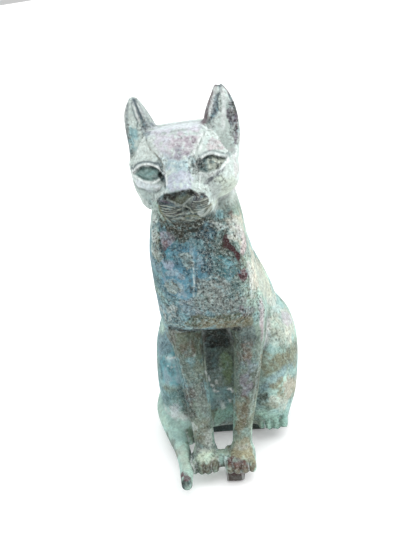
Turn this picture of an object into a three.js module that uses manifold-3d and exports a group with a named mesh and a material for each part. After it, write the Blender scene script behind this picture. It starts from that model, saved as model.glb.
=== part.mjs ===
// A seated cat, cast in bronze as one hollow piece, with the two tangs it stands on.
// Millimetres, +Z up, the cat facing -Y; the origin is the middle of the rear tang's underside.

import * as THREE from "three";
import { mergeVertices } from "three/addons/utils/BufferGeometryUtils.js";
import Module from "manifold-3d";

const wasm = await Module();
wasm.setup();

// Driving dimensions, in mm
const CAT_HEIGHT = 131.5;
const TANG_DEPTH = 5.5;
const TANG_ROOT = 5;
const FRONT_TANG_WIDTH = 6.2;
const FRONT_TANG_LENGTH = 8.5;
const REAR_TANG_WIDTH = 26;
const REAR_TANG_LENGTH = 19;
const SKIN_CELL = 1.0;
const FACETS = 8600;
const STEPS_BETWEEN = 4;

// The cat is drawn in shares of its height: 131.5 units from the soles to the ear tips.
// In these units the soles lie at z = 0 and x = 0 is the middle of the face.
const UNITS_TALL = 131.5;
const UNIT = CAT_HEIGHT / UNITS_TALL;
const ROOM = { low: [-36, -46, -3], high: [34, 46, 136] };

// The cat's own right side is at -X, its left side at +X.
const RIGHT = -1;
const LEFT = 1;
const FACE_MIDDLE = -0.5;
const LEFT_PAW_X = 6.0;
const LEFT_PAW_Y = -26.4;
const RIGHT_PAW_X = -7.2;
const RIGHT_PAW_Y = -25.8;
const BELLY_FRONT = -3.0;
const RIGHT_EAR_TIP = 129.2;
const LEFT_EAR_TIP = 129.7;
const REAR_TANG_X = 0.5;
const REAR_TANG_SETBACK = 5;
const FRONT_TANG_INWARD = 3;
const FRONT_TANG_FORWARD = 3.1;

const BRONZE_PATINA = 0x7d958a;

// Clay: a grid of distances to the surface, negative inside

class Clay {
  constructor(low, high, cell) {
    this.low = low;
    this.cell = cell;
    this.count = low.map((from, axis) => Math.ceil((high[axis] - from) / cell) + 1);
    this.field = new Float32Array(this.count[0] * this.count[1] * this.count[2]).fill(40);
  }

  at(axis, step) {
    return this.low[axis] + step * this.cell;
  }

  // Calls change(x, y, z, old distance) at each grid point of a box and keeps what it returns.
  work(low, high, change) {
    const first = low.map((v, axis) => Math.max(0, Math.floor((v - this.low[axis]) / this.cell)));
    const last = high.map((v, axis) =>
      Math.min(this.count[axis] - 1, Math.ceil((v - this.low[axis]) / this.cell)),
    );
    for (let k = first[2]; k <= last[2]; k++) {
      for (let j = first[1]; j <= last[1]; j++) {
        for (let i = first[0]; i <= last[0]; i++) {
          const n = (k * this.count[1] + j) * this.count[0] + i;
          this.field[n] = change(this.at(0, i), this.at(1, j), this.at(2, k), this.field[n]);
        }
      }
    }
  }

  add(shape, blend) {
    const reach = blend + 1.5;
    this.work(
      shape.low.map((v) => v - reach),
      shape.high.map((v) => v + reach),
      (x, y, z, old) => softMin(old, shape.distance(x, y, z), blend),
    );
  }

  cut(shape, blend) {
    const reach = blend + 1.5;
    this.work(
      shape.low.map((v) => v - reach),
      shape.high.map((v) => v + reach),
      (x, y, z, old) => -softMin(-old, shape.distance(x, y, z), blend),
    );
  }
}

function softMin(a, b, blend) {
  if (blend <= 0) return Math.min(a, b);
  const share = Math.max(blend - Math.abs(a - b), 0) / blend;
  return Math.min(a, b) - (share * share * blend) / 4;
}

function smooth(t) {
  const s = Math.min(Math.max(t, 0), 1);
  return s * s * (3 - 2 * s);
}

// Values of a smooth curve through stations, each a place followed by its values.
function along(stations, place) {
  const last = stations.length - 1;
  let i = 0;
  while (i < last - 1 && place > stations[i + 1][0]) i++;
  const width = stations[i + 1][0] - stations[i][0];
  const t = Math.min(Math.max((place - stations[i][0]) / width, 0), 1);
  const slope = (n, v) => {
    const a = stations[Math.max(n - 1, 0)];
    const b = stations[Math.min(n + 1, last)];
    return (b[v] - a[v]) / (b[0] - a[0]);
  };
  return stations[i].slice(1).map((from, n) => {
    const v = n + 1;
    const to = stations[i + 1][v];
    return (
      (2 * t ** 3 - 3 * t ** 2 + 1) * from +
      (t ** 3 - 2 * t ** 2 + t) * width * slope(i, v) +
      (3 * t ** 2 - 2 * t ** 3) * to +
      (t ** 3 - t ** 2) * width * slope(i + 1, v)
    );
  });
}

// A smooth curve through points, each a place and a radius, with a few steps from point to point.
function through(points) {
  const curve = (axis) => (n) => points[Math.min(Math.max(n, 0), points.length - 1)][axis];
  const steps = (points.length - 1) * STEPS_BETWEEN;
  return Array.from({ length: steps + 1 }, (_, step) => {
    const n = Math.min(Math.floor(step / STEPS_BETWEEN), points.length - 2);
    const t = step / STEPS_BETWEEN - n;
    return [0, 1, 2, 3].map((axis) => {
      const at = curve(axis);
      const [a, b, c, d] = [at(n - 1), at(n), at(n + 1), at(n + 2)];
      return (
        b +
        0.5 * t * (c - a + t * (2 * a - 5 * b + 4 * c - d + t * (3 * (b - c) + d - a)))
      );
    });
  });
}

// Shapes of clay

// An ellipsoid, boxier as flat grows past 2, tilted about X by pitch and about Y by roll.
function ball(centre, radii, { pitch = 0, roll = 0, flat = 2 } = {}) {
  const reach = pitch || roll ? radii.map(() => Math.max(...radii)) : radii;
  const [cp, sp] = [Math.cos(THREE.MathUtils.degToRad(pitch)), Math.sin(THREE.MathUtils.degToRad(pitch))];
  const [cr, sr] = [Math.cos(THREE.MathUtils.degToRad(roll)), Math.sin(THREE.MathUtils.degToRad(roll))];
  return {
    low: centre.map((v, axis) => v - reach[axis]),
    high: centre.map((v, axis) => v + reach[axis]),
    distance(x, y, z) {
      const [dx, dy, dz] = [x - centre[0], y - centre[1], z - centre[2]];
      const [u, rise] = [cr * dx + sr * dz, -sr * dx + cr * dz];
      const turned = [u, cp * dy + sp * rise, -sp * dy + cp * rise];
      const share = turned.map((v, axis) => Math.abs(v) / radii[axis] + 1e-6);
      const sum = share.reduce((total, v) => total + v ** flat, 0) ** (1 / flat);
      const slopes = share.map((v, axis) => (v ** (flat - 1) / radii[axis]) ** 2);
      const steep = sum ** (1 - flat) * Math.sqrt(slopes[0] + slopes[1] + slopes[2]);
      return (flat === 2 ? sum : 1) * ((sum - 1) / steep);
    },
  };
}

// A round bar along points, each a place and a radius; squash stretches it along an axis.
function limb(points, squash = [1, 1, 1]) {
  const reach = Math.max(...points.map((p) => p[3])) * Math.max(...squash);
  const least = Math.min(...squash);
  return {
    low: [0, 1, 2].map((axis) => Math.min(...points.map((p) => p[axis])) - reach),
    high: [0, 1, 2].map((axis) => Math.max(...points.map((p) => p[axis])) + reach),
    distance(x, y, z) {
      let best = Infinity;
      for (let i = 0; i + 1 < points.length; i++) {
        const [a, b] = [points[i], points[i + 1]];
        const way = [0, 1, 2].map((axis) => (b[axis] - a[axis]) / squash[axis]);
        const off = [x - a[0], y - a[1], z - a[2]].map((v, axis) => v / squash[axis]);
        const dot = off[0] * way[0] + off[1] * way[1] + off[2] * way[2];
        const size = way[0] ** 2 + way[1] ** 2 + way[2] ** 2;
        const t = Math.min(Math.max(dot / size, 0), 1);
        const gap = Math.hypot(off[0] - t * way[0], off[1] - t * way[1], off[2] - t * way[2]);
        best = Math.min(best, (gap - (a[3] + t * (b[3] - a[3]))) * least);
      }
      return best;
    },
  };
}

// An upright body through stations of height, left edge, right edge, front and back.
function loft(stations, flat, roundEnds) {
  const [bottom, top] = [stations[0][0], stations[stations.length - 1][0]];
  const values = (n) => stations.map((s) => s[n]);
  const layers = new Map();
  const layer = (z) => {
    if (!layers.has(z)) layers.set(z, along(stations, z));
    return layers.get(z);
  };
  return {
    low: [Math.min(...values(1)), Math.min(...values(3)), bottom],
    high: [Math.max(...values(2)), Math.max(...values(4)), top],
    distance(x, y, z) {
      const [left, right, front, back] = layer(z);
      const [wide, deep] = [(right - left) / 2, (back - front) / 2];
      const px = Math.abs(x - (left + right) / 2) / wide + 1e-6;
      const py = Math.abs(y - (front + back) / 2) / deep + 1e-6;
      const sum = (px ** flat + py ** flat) ** (1 / flat);
      const slope = Math.hypot(px ** (flat - 1) / wide, py ** (flat - 1) / deep);
      const steep = sum ** (1 - flat) * slope;
      return -softMin(-(sum - 1) / steep, -Math.max(z - top, bottom - z), roundEnds);
    },
  };
}

// The cat's body

function torso(clay) {
  const trunk = [
    [-1, -17.5, 18.6, BELLY_FRONT + 1.0, 33],
    [6, -21.0, 21.0, BELLY_FRONT + 0.3, 37.5],
    [16, -22.5, 23.3, BELLY_FRONT, 39.5],
    [28, -22.5, 24.0, BELLY_FRONT, 38.5],
    [40, -21.2, 23.2, -4.5, 34.5],
    [52, -19.3, 22.0, -9, 29],
    [64, -18.0, 19.0, -14, 23],
    [76, -16.0, 15.8, -17, 17],
    [88, -14.4, 15.2, -17, 12],
    [99, -12.4, 13.6, -13, 9],
  ];
  clay.add(loft(trunk, 2.3, 5), 0);
  for (const [x, z, roll, knee, blend] of [
    [-12.9, 21.2, 5, -15.0, 5],
    [15.0, 22.0, -7, 14.2, 3],
  ]) {
    clay.add(ball([x, 13, z], [13.4, 21.5, 25.0], { pitch: -12, roll, flat: 2.2 }), blend);
    clay.add(ball([knee, 5, 15], [10.2, 11, 16], { flat: 2.3 }), 5);
  }
  const hollow = [
    [0, -9, 20, 6.5],
    [0, -4, 36, 4.5],
    [0, -8, 46, 3.5],
  ];
  clay.cut(limb(hollow, [1.3, 1, 1]), 4);
}

function chest(clay) {
  const front = [
    [51.8, -14.6, 15.4, -22.6, 6],
    [55, -15.8, 17.2, -24.4, 8],
    [62, -16.5, 18.2, -25.2, 8],
    [72, -16.7, 18.3, -24.5, 8],
    [80, -16.5, 16.9, -22.8, 7],
    [88, -15.2, 16.1, -20, 6],
    [98, -12.8, 14.2, -14, 5],
  ];
  clay.add(loft(front, 2.9, 1.2), 1.2);
}

function forelegs(clay) {
  clay.add(ball([-10.9, -8, 56], [6.3, 10.5, 17], { pitch: 6, flat: 2.3 }), 4);
  clay.add(ball([13.4, -8.5, 53], [6.8, 10.8, 17], { pitch: 6, flat: 2.3 }), 4);
  const right = [
    [-9.3, -11.5, 55, 6.0],
    [-8.2, -15.4, 40, 5.1],
    [-7.6, -18.6, 27, 4.6],
    [RIGHT_PAW_X, -21.4, 14, 3.7],
    [RIGHT_PAW_X, -23, 6, 3.6],
  ];
  const left = [
    [14.2, -12, 53, 6.1],
    [12.7, -15.6, 40, 5.1],
    [10.4, -18.8, 27, 4.4],
    [LEFT_PAW_X + 1.5, -21.6, 14, 3.5],
    [LEFT_PAW_X + 0.3, -23.2, 6, 3.5],
  ];
  clay.add(limb(right, [1, 1.12, 1]), 2);
  clay.add(limb(left, [1, 1.12, 1]), 2);
  paw(clay, RIGHT_PAW_X, RIGHT_PAW_Y, 4.7, 7.3, 5.8, 2);
  paw(clay, LEFT_PAW_X, LEFT_PAW_Y, 5.0, 7.5, 5.8, 2);
}

function hindPaws(clay) {
  paw(clay, -16.0, -4.5, 5.4, 10.5, 8.0, 3);
  paw(clay, 16.7, 1.6, 5.5, 10.0, 8.0, 3);
}

// A paw lies on the soles' plane, with four toes along its front.
function paw(clay, x, y, wide, long, high, blend) {
  clay.add(ball([x, y + 0.6, high * 0.42], [wide, long * 0.8, high * 0.78], { flat: 2.6 }), blend);
  for (const toe of [-1.5, -0.5, 0.5, 1.5]) {
    const place = [x + toe * wide * 0.52, y - long * 0.6 + Math.abs(toe) * 0.7, high * 0.34];
    clay.add(ball(place, [wide * 0.28, long * 0.33, high * 0.52]), 0.6);
  }
}

// The short bar of metal that joins the front paws.
function webBar(clay) {
  const middle = (LEFT_PAW_X + RIGHT_PAW_X) / 2 - 0.3;
  clay.add(ball([middle, -25.6, 2.6], [4.2, 2.4, 3.1], { flat: 3.5 }), 1);
}

function tail(clay) {
  const bend = [
    [5, 32, 9, 4.2],
    [-4, 35.5, 7.2, 4.9],
    [-13.5, 35, 5.9, 5.2],
    [-21.6, 29, 5.4, 5.0],
    [-25.2, 19, 5.4, 4.8],
    [-25.6, 8.5, 5.2, 4.5],
    [-23.5, -1, 4.9, 4.0],
    [-20.2, -10, 4.5, 3.6],
    [-16.9, -19, 3.7, 3.0],
    [-14.7, -26, 3.1, 2.6],
    [-13.2, -33.5, 2.6, 2.35],
    [-12.5, -39.3, 2.3, 1.9],
  ];
  clay.add(limb(through(bend), [1, 1, 1.05]), 1.2);
}

// The cat's head

function head(clay) {
  const skull = [
    [94.0, -8.2, 7.5, -20.5, 4],
    [97, -11.8, 10.8, -21.6, 6.5],
    [101, -14.9, 14.4, -22.0, 8.4],
    [105.5, -17.8, 17.1, -21.8, 9.2],
    [111, -18.6, 18.1, -21, 9],
    [115.5, -17.3, 17.2, -18.8, 7.2],
    [120.0, -14.0, 14.0, -15.2, 2.5],
  ];
  clay.add(loft(skull, 2.35, 2.6), 2.5);
  clay.add(ball([0, -19, 100.8], [9.4, 10.4, 5.4], { flat: 2.3 }), 2.5);
  const noseBridge = [
    [FACE_MIDDLE + 0.2, -14, 113, 6.6],
    [FACE_MIDDLE + 0.2, -19.4, 108, 5.0],
    [FACE_MIDDLE + 0.3, -25.6, 103, 4.1],
  ];
  clay.add(limb(noseBridge, [1, 0.8, 1]), 2);
  for (const side of [RIGHT, LEFT]) {
    clay.add(ball([side * 4.3 - 0.3, -25.4, 99.4], [4.9, 4.2, 3.3]), 0.8);
    clay.add(ball([side * 10.4 + 0.6, -12.5, 103.6], [7.0, 9.0, 6.6]), 3);
  }
  clay.add(ball([-9.3, -14.6, 98.8], [5.7, 6.3, 3.8]), 2);
  clay.add(ball([0.3, -18.8, 96.6], [9.0, 8.6, 4.2], { flat: 2.3 }), 2);
  clay.add(ball([0.5, -22.4, 95.6], [4.6, 4.8, 3.0]), 1.2);
  clay.add(ball([0.3, -16.6, 91.2], [8.4, 5.2, 5.0]), 4);
  clay.add(ball([-0.3, -27.2, 102.4], [4.2, 2.7, 2.0], { flat: 2.6 }), 0.8);
}

// Each ear is a cup that opens to the front, with a fold down its middle.
// Its places are in shares of its own height, from its root in the skull to its tip.
function ear(clay, side, tip, base, middle, shift) {
  const root = 108.5;
  const place = (out, y, share, radius) => [side * out, y, root + share * (tip - root), radius];
  const shell = [
    place(base, -3.5, 0, 5.9),
    place(12.9, -4.0, 0.315, middle + 0.7),
    place(13.6 + shift, -4.7, 0.58, middle),
    place(14.2 + shift, -4.9, 0.815, 3.8),
    place(14.2 + shift, -4.8, 1, 1.8),
  ];
  const cup = [
    place(14.4, -9.9, 0.22, 4.1),
    place(14.6, -9.0, 0.46, 4.2),
    place(14.4, -8.1, 0.7, 3.4),
    place(14.2, -7.1, 0.925, 1.5),
  ];
  const fold = [
    place(14.6, -6.8, 0.19, 1.2),
    place(14.4, -5.7, 0.56, 1.05),
    place(14.2, -5.4, 0.87, 0.5),
  ];
  clay.add(limb(through(shell), [1, 0.7, 1]), 1.2);
  clay.cut(limb(through(cup), [1, 0.85, 1]), 0.8);
  clay.add(limb(fold), 0.8);
}

// The carving of the face, as heights over the front of the head

// Distance in the plane of the face from a line through points [x, z].
function fromLine(x, z, points) {
  let best = Infinity;
  for (let i = 0; i + 1 < points.length; i++) {
    const [a, b] = [points[i], points[i + 1]];
    const [dx, dz] = [b[0] - a[0], b[1] - a[1]];
    const t = Math.min(Math.max(((x - a[0]) * dx + (z - a[1]) * dz) / (dx * dx + dz * dz), 0), 1);
    best = Math.min(best, Math.hypot(x - a[0] - t * dx, z - a[1] - t * dz));
  }
  return best;
}

// Depth inside an almond between two corners, with the bulge of each edge.
function almond(x, z, from, to, up, down) {
  const half = (to[0] - from[0]) / 2;
  const t = (x - (from[0] + to[0]) / 2) / half;
  const chord = (from[1] + to[1]) / 2 + (t * (to[1] - from[1])) / 2;
  const room = 1 - t * t;
  const slope = (2 * Math.min(Math.abs(t), 1.3)) / half;
  const above = (chord + up * room - z) / Math.hypot(1, up * slope);
  const below = (z - chord + down * room) / Math.hypot(1, down * slope);
  return softMin(above, below, 0.5);
}

function ridge(distance, width, height) {
  return height * Math.exp(-((distance / width) ** 2));
}

// An eyeball in its rims, in a raised almond with a pouch below, and the slit of its tear duct.
function eyeRelief(x, z, side, level, up, down, pouch) {
  const place = (out, rise) => [side * out + FACE_MIDDLE, level + rise];
  const across = (near, far) => (side === RIGHT ? [far, near] : [near, far]);
  const eye = almond(x, z, ...across(place(5.0, -0.1), place(15.6, 0.1)), up, down);
  const socket = almond(x, z, ...across(place(4.2, -0.6), place(16.8, -0.1)), up + 1.7, down + pouch);
  const duct = fromLine(x, z, [place(5.4, -0.2), place(4.9, -1.6), place(4.5, -3.4)]);
  const crisp = side === RIGHT ? 1 : smooth((x - FACE_MIDDLE - 7.5) / 3.5);
  const socketStep = 0.5 * smooth(socket + 0.5) - ridge(socket + 0.2, 0.45, 0.35) * crisp;
  const lids = ridge(eye + 0.55, 0.5, 0.3) - ridge(eye - 0.35, 0.35, 0.3);
  const eyeball = smooth(eye / 2.2) - 1.15 * smooth(eye / 0.7 + 0.4);
  return socketStep + lids + eyeball - ridge(duct, 0.5, 0.7);
}

// The raised band runs from the crown down to the nose.
function bandRelief(x, z) {
  const halfWidths = [
    [103.5, 4.3],
    [107, 3.9],
    [110, 4.0],
    [112.5, 5.2],
    [115.5, 7.6],
    [118.7, 9.6],
    [122, 12],
  ];
  const inside = along(halfWidths, z)[0] - Math.abs(x - FACE_MIDDLE);
  return 0.55 * smooth(inside / 0.9 + 0.5) * smooth(z - 102.8);
}

function muzzleRelief(x, z) {
  const apex = [FACE_MIDDLE - 0.1, 99.3];
  const lip = [FACE_MIDDLE, 97.6];
  const slit = [
    [-4.7, 103.0],
    [-2.4, 103.7],
    [-0.3, 103.9],
    [2.0, 103.8],
    [4.0, 103.4],
  ];
  const noseSides = [[-4.3, 102.6], apex, [3.5, 102.8]];
  const mouth = [[-8.2, 97.9], [-4.4, 96.8], lip, [3.6, 96.8], [8.0, 97.5]];
  const lips = Math.min(fromLine(x, z, [apex, lip]), fromLine(x, z, mouth));
  return (
    -ridge(fromLine(x, z, slit), 0.5, 0.7) -
    ridge(fromLine(x, z, noseSides), 0.5, 0.4) -
    ridge(lips, 0.5, 0.4)
  );
}

function carveFace(clay) {
  clay.work([-20, -34, 92], [20, -8, 124], (x, y, z, old) => {
    const height =
      bandRelief(x, z) +
      muzzleRelief(x, z) +
      eyeRelief(x, z, RIGHT, 108.2, 2.9, 1.9, 3.0) +
      eyeRelief(x, z, LEFT, 110.2, 2.3, 3.0, 2.9);
    return old - height * smooth((-8 - y) / 5);
  });
}

function flattenSoles(clay) {
  clay.work(ROOM.low, ROOM.high, (x, y, z, old) => Math.max(old, -z));
}

// Skin: one triangle or two for each tetrahedron of the grid that the surface crosses

// A cube splits into a tetrahedron for each order in which its edges lead from its first corner to its last.
// A corner's number holds a bit for each axis.
const TETRAHEDRA = ["xyz", "xzy", "yxz", "yzx", "zxy", "zyx"].map((walk) =>
  [...walk].reduce((path, axis) => [...path, path.at(-1) + 2 ** "xyz".indexOf(axis)], [0]),
);

function skinOf(clay) {
  const [nx, ny, nz] = clay.count;
  const field = clay.field;
  const places = [];
  const faces = [];
  const known = new Map();
  const gridPoint = (n) => [
    clay.at(0, n % nx),
    clay.at(1, Math.floor(n / nx) % ny),
    clay.at(2, Math.floor(n / (nx * ny))),
  ];
  const crossing = (a, b) => {
    const key = Math.min(a, b) * field.length + Math.max(a, b);
    if (!known.has(key)) {
      const t = Math.min(Math.max(field[a] / (field[a] - field[b]), 0.03), 0.97);
      const [p, q] = [gridPoint(a), gridPoint(b)];
      known.set(key, places.length);
      places.push(p.map((v, axis) => v + t * (q[axis] - v)));
    }
    return known.get(key);
  };
  const addFace = (corners, inner, outer) => {
    const [a, b, c] = corners.map((n) => new THREE.Vector3(...places[n]));
    const normal = b.clone().sub(a).cross(c.clone().sub(a));
    const way = new THREE.Vector3(...gridPoint(outer)).sub(new THREE.Vector3(...gridPoint(inner)));
    faces.push(normal.dot(way) > 0 ? corners : [corners[0], corners[2], corners[1]]);
  };
  for (let k = 0; k + 1 < nz; k++) {
    for (let j = 0; j + 1 < ny; j++) {
      for (let i = 0; i + 1 < nx; i++) {
        const cube = [];
        for (const w of [k, k + 1]) {
          for (const v of [j, j + 1]) cube.push((w * ny + v) * nx + i, (w * ny + v) * nx + i + 1);
        }
        const solid = cube.filter((n) => field[n] < 0).length;
        if (solid === 0 || solid === cube.length) continue;
        for (const tetrahedron of TETRAHEDRA) {
          const points = tetrahedron.map((n) => cube[n]);
          const inner = points.filter((n) => field[n] < 0);
          const outer = points.filter((n) => field[n] >= 0);
          if (inner.length === 1) addFace(outer.map((n) => crossing(inner[0], n)), inner[0], outer[0]);
          if (inner.length === 3) addFace(inner.map((n) => crossing(outer[0], n)), inner[0], outer[0]);
          if (inner.length === 2) {
            const [a, b] = inner;
            const [c, d] = outer;
            const ring = [crossing(a, c), crossing(a, d), crossing(b, d), crossing(b, c)];
            addFace([ring[0], ring[1], ring[2]], a, c);
            addFace([ring[0], ring[2], ring[3]], a, c);
          }
        }
      }
    }
  }
  return { places, faces };
}

// Simplifying: edges are drawn together in the order of the error that this makes

// The heap gives back the entry with the smallest cost.
class Heap {
  constructor() {
    this.entries = [];
  }

  push(entry) {
    const list = this.entries;
    let n = list.push(entry) - 1;
    while (n > 0) {
      const parent = (n - 1) >> 1;
      if (list[parent].cost <= entry.cost) break;
      list[n] = list[parent];
      n = parent;
    }
    list[n] = entry;
  }

  pop() {
    const list = this.entries;
    const top = list[0];
    const last = list.pop();
    if (!list.length) return top;
    let n = 0;
    for (;;) {
      let child = 2 * n + 1;
      if (child >= list.length) break;
      if (child + 1 < list.length && list[child + 1].cost < list[child].cost) child++;
      if (list[child].cost >= last.cost) break;
      list[n] = list[child];
      n = child;
    }
    list[n] = last;
    return top;
  }
}

function crossOf(a, b, c) {
  const [ux, uy, uz] = [b[0] - a[0], b[1] - a[1], b[2] - a[2]];
  const [vx, vy, vz] = [c[0] - a[0], c[1] - a[1], c[2] - a[2]];
  return [uy * vz - uz * vy, uz * vx - ux * vz, ux * vy - uy * vx];
}

// The error of a place is its squared distance from the planes met so far, weighted by their areas.
// A quadric holds xx, xy, xz, xw, yy, yz, yw, zz, zw and ww of their sum.
function planeQuadric(a, b, c) {
  const normal = crossOf(a, b, c);
  const size = Math.hypot(...normal) || 1e-12;
  const [x, y, z] = normal.map((v) => v / size);
  const w = -(x * a[0] + y * a[1] + z * a[2]);
  return [x * x, x * y, x * z, x * w, y * y, y * z, y * w, z * z, z * w, w * w].map((v) => v * size);
}

function quadricError(q, [x, y, z]) {
  return (
    q[0] * x * x + 2 * q[1] * x * y + 2 * q[2] * x * z + 2 * q[3] * x +
    q[4] * y * y + 2 * q[5] * y * z + 2 * q[6] * y +
    q[7] * z * z + 2 * q[8] * z + q[9]
  );
}

function bestPlace(q, a, b) {
  const middle = a.map((v, axis) => (v + b[axis]) / 2);
  const m = new THREE.Matrix3().set(q[0], q[1], q[2], q[1], q[4], q[5], q[2], q[5], q[7]);
  const size = (q[0] + q[4] + q[7]) ** 3;
  const choices = [middle, a, b];
  if (Math.abs(m.determinant()) > 1e-4 * size) {
    const solved = new THREE.Vector3(-q[3], -q[6], -q[8]).applyMatrix3(m.invert()).toArray();
    const apart = Math.hypot(a[0] - b[0], a[1] - b[1], a[2] - b[2]);
    const moved = Math.hypot(solved[0] - middle[0], solved[1] - middle[1], solved[2] - middle[2]);
    if (moved < 1.5 * apart) choices.push(solved);
  }
  return choices
    .map((place) => ({ place, cost: Math.max(quadricError(q, place), 0) }))
    .reduce((best, next) => (next.cost < best.cost ? next : best));
}

function simplified({ places, faces }, wanted) {
  const live = faces.map(() => true);
  const around = places.map(() => new Set());
  const quadrics = places.map(() => new Array(10).fill(0));
  const version = new Int32Array(places.length);
  faces.forEach((face, f) => {
    const plane = planeQuadric(...face.map((n) => places[n]));
    for (const n of face) {
      around[n].add(f);
      plane.forEach((v, i) => (quadrics[n][i] += v));
    }
  });
  const neighbours = (n) => {
    const found = new Set();
    for (const f of around[n]) for (const m of faces[f]) if (m !== n) found.add(m);
    return found;
  };
  const heap = new Heap();
  const offer = (a, b) => {
    const sum = quadrics[a].map((v, i) => v + quadrics[b][i]);
    const { place, cost } = bestPlace(sum, places[a], places[b]);
    const apart = Math.hypot(...places[a].map((v, axis) => v - places[b][axis]));
    heap.push({ cost: cost + 1e-5 * apart ** 4, a, b, place, age: version[a] + version[b] });
  };
  const flips = (n, other, place) => {
    for (const f of around[n]) {
      if (faces[f].includes(other)) continue;
      const before = crossOf(...faces[f].map((m) => places[m]));
      const after = crossOf(...faces[f].map((m) => (m === n ? place : places[m])));
      const dot = before[0] * after[0] + before[1] * after[1] + before[2] * after[2];
      const [was, now] = [Math.hypot(...before), Math.hypot(...after)];
      if (dot < 0.35 * was * now || now < 1e-3) return true;
    }
    return false;
  };
  places.forEach((_, n) => {
    for (const m of neighbours(n)) if (n < m) offer(n, m);
  });
  let left = faces.length;
  while (left > wanted && heap.entries.length) {
    const { a, b, place, age } = heap.pop();
    if (!around[a].size || !around[b].size || age !== version[a] + version[b]) continue;
    const beside = neighbours(b);
    const shared = [...neighbours(a)].filter((n) => beside.has(n));
    if (shared.length !== 2 || flips(a, b, place) || flips(b, a, place)) continue;
    places[a] = place;
    quadrics[b].forEach((v, i) => (quadrics[a][i] += v));
    for (const f of around[b]) {
      if (faces[f].includes(a)) {
        live[f] = false;
        left--;
        for (const n of faces[f]) if (n !== b) around[n].delete(f);
      } else {
        faces[f] = faces[f].map((n) => (n === b ? a : n));
        around[a].add(f);
      }
    }
    around[b] = new Set();
    version[b]++;
    version[a]++;
    for (const n of neighbours(a)) offer(a, n);
  }
  return { places, faces: faces.filter((_, f) => live[f]) };
}

// Solids

function geometryOf({ places, faces }, scale) {
  const used = [...new Set(faces.flat())];
  const order = new Map(used.map((n, i) => [n, i]));
  const positions = new Float32Array(used.flatMap((n) => places[n].map((v) => v * scale)));
  return new THREE.BufferGeometry()
    .setAttribute("position", new THREE.BufferAttribute(positions, 3))
    .setIndex(faces.flat().map((n) => order.get(n)));
}

function solidOf(geometry) {
  const bare = geometry.clone();
  bare.deleteAttribute("normal");
  bare.deleteAttribute("uv");
  const merged = mergeVertices(bare, 1e-4);
  return new wasm.Manifold(
    new wasm.Mesh({
      numProp: 3,
      vertProperties: merged.attributes.position.array,
      triVerts: new Uint32Array(merged.index.array),
    }),
  );
}

function meshOf(name, solid, material) {
  const { vertProperties, triVerts } = solid.getMesh();
  const geometry = new THREE.BufferGeometry()
    .setAttribute("position", new THREE.BufferAttribute(vertProperties, 3))
    .setIndex(new THREE.BufferAttribute(triVerts, 1));
  geometry.computeVertexNormals();
  const mesh = new THREE.Mesh(geometry, material);
  mesh.name = name;
  return mesh;
}

// A tang hangs below the soles and runs up into the metal by its root.
function tang(x, front, width, length) {
  const height = TANG_DEPTH + TANG_ROOT;
  const block = new THREE.BoxGeometry(width, length, height);
  return block.translate(x, front + length / 2, TANG_ROOT - height / 2);
}

// The cat as one piece

function catSolid() {
  const clay = new Clay(ROOM.low, ROOM.high, SKIN_CELL / UNIT);
  torso(clay);
  forelegs(clay);
  chest(clay);
  hindPaws(clay);
  webBar(clay);
  tail(clay);
  head(clay);
  ear(clay, RIGHT, RIGHT_EAR_TIP, 12.7, 5.2, 0);
  ear(clay, LEFT, LEFT_EAR_TIP, 11.4, 5.5, 0.1);
  carveFace(clay);
  flattenSoles(clay);
  return solidOf(geometryOf(simplified(skinOf(clay), FACETS), UNIT));
}

const frontTangX = (LEFT_PAW_X - FRONT_TANG_INWARD) * UNIT;
const frontTangFront = (LEFT_PAW_Y - FRONT_TANG_FORWARD) * UNIT;
const rearTangX = REAR_TANG_X * UNIT;
const rearTangFront = (BELLY_FRONT + REAR_TANG_SETBACK) * UNIT;
const rearTangMiddle = rearTangFront + REAR_TANG_LENGTH / 2;

const figure = catSolid()
  .add(solidOf(tang(frontTangX, frontTangFront, FRONT_TANG_WIDTH, FRONT_TANG_LENGTH)))
  .add(solidOf(tang(rearTangX, rearTangFront, REAR_TANG_WIDTH, REAR_TANG_LENGTH)))
  .translate([-rearTangX, -rearTangMiddle, TANG_DEPTH]);

const patinatedBronze = new THREE.MeshStandardMaterial({
  color: BRONZE_PATINA,
  roughness: 0.85,
  metalness: 0.2,
});

const cat = new THREE.Group();
cat.add(meshOf("cat_figure", figure, patinatedBronze));

export default cat;
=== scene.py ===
import itertools
import math

import bpy
import numpy as np
from mathutils import Matrix, Vector


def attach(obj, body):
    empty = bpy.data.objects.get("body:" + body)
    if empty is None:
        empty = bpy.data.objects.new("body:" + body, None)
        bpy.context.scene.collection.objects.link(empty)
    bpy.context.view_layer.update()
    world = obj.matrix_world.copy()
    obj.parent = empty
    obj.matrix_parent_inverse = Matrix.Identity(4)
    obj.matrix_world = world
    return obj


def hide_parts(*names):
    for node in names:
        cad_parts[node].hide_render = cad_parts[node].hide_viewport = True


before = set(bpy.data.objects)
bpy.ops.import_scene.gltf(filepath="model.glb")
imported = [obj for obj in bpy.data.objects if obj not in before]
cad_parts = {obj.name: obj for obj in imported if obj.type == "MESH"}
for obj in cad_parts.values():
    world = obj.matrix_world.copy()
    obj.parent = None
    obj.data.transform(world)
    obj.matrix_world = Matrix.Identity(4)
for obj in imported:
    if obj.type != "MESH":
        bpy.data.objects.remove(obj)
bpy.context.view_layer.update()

# Shapes are in millimetres above the soles: x to the right as seen from the front, the face towards -y.
MM = 0.001
# Each tang: middle in x, front, width, length. They reach below the soles and up into the paws.
FRONT_TANG = (3.0, -29.5, 6.2, 8.5)
REAR_TANG = (0.5, 2.0, 26.0, 19.0)
TANG_DEPTH, TANG_ROOT = 5.5, 5.0
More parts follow.
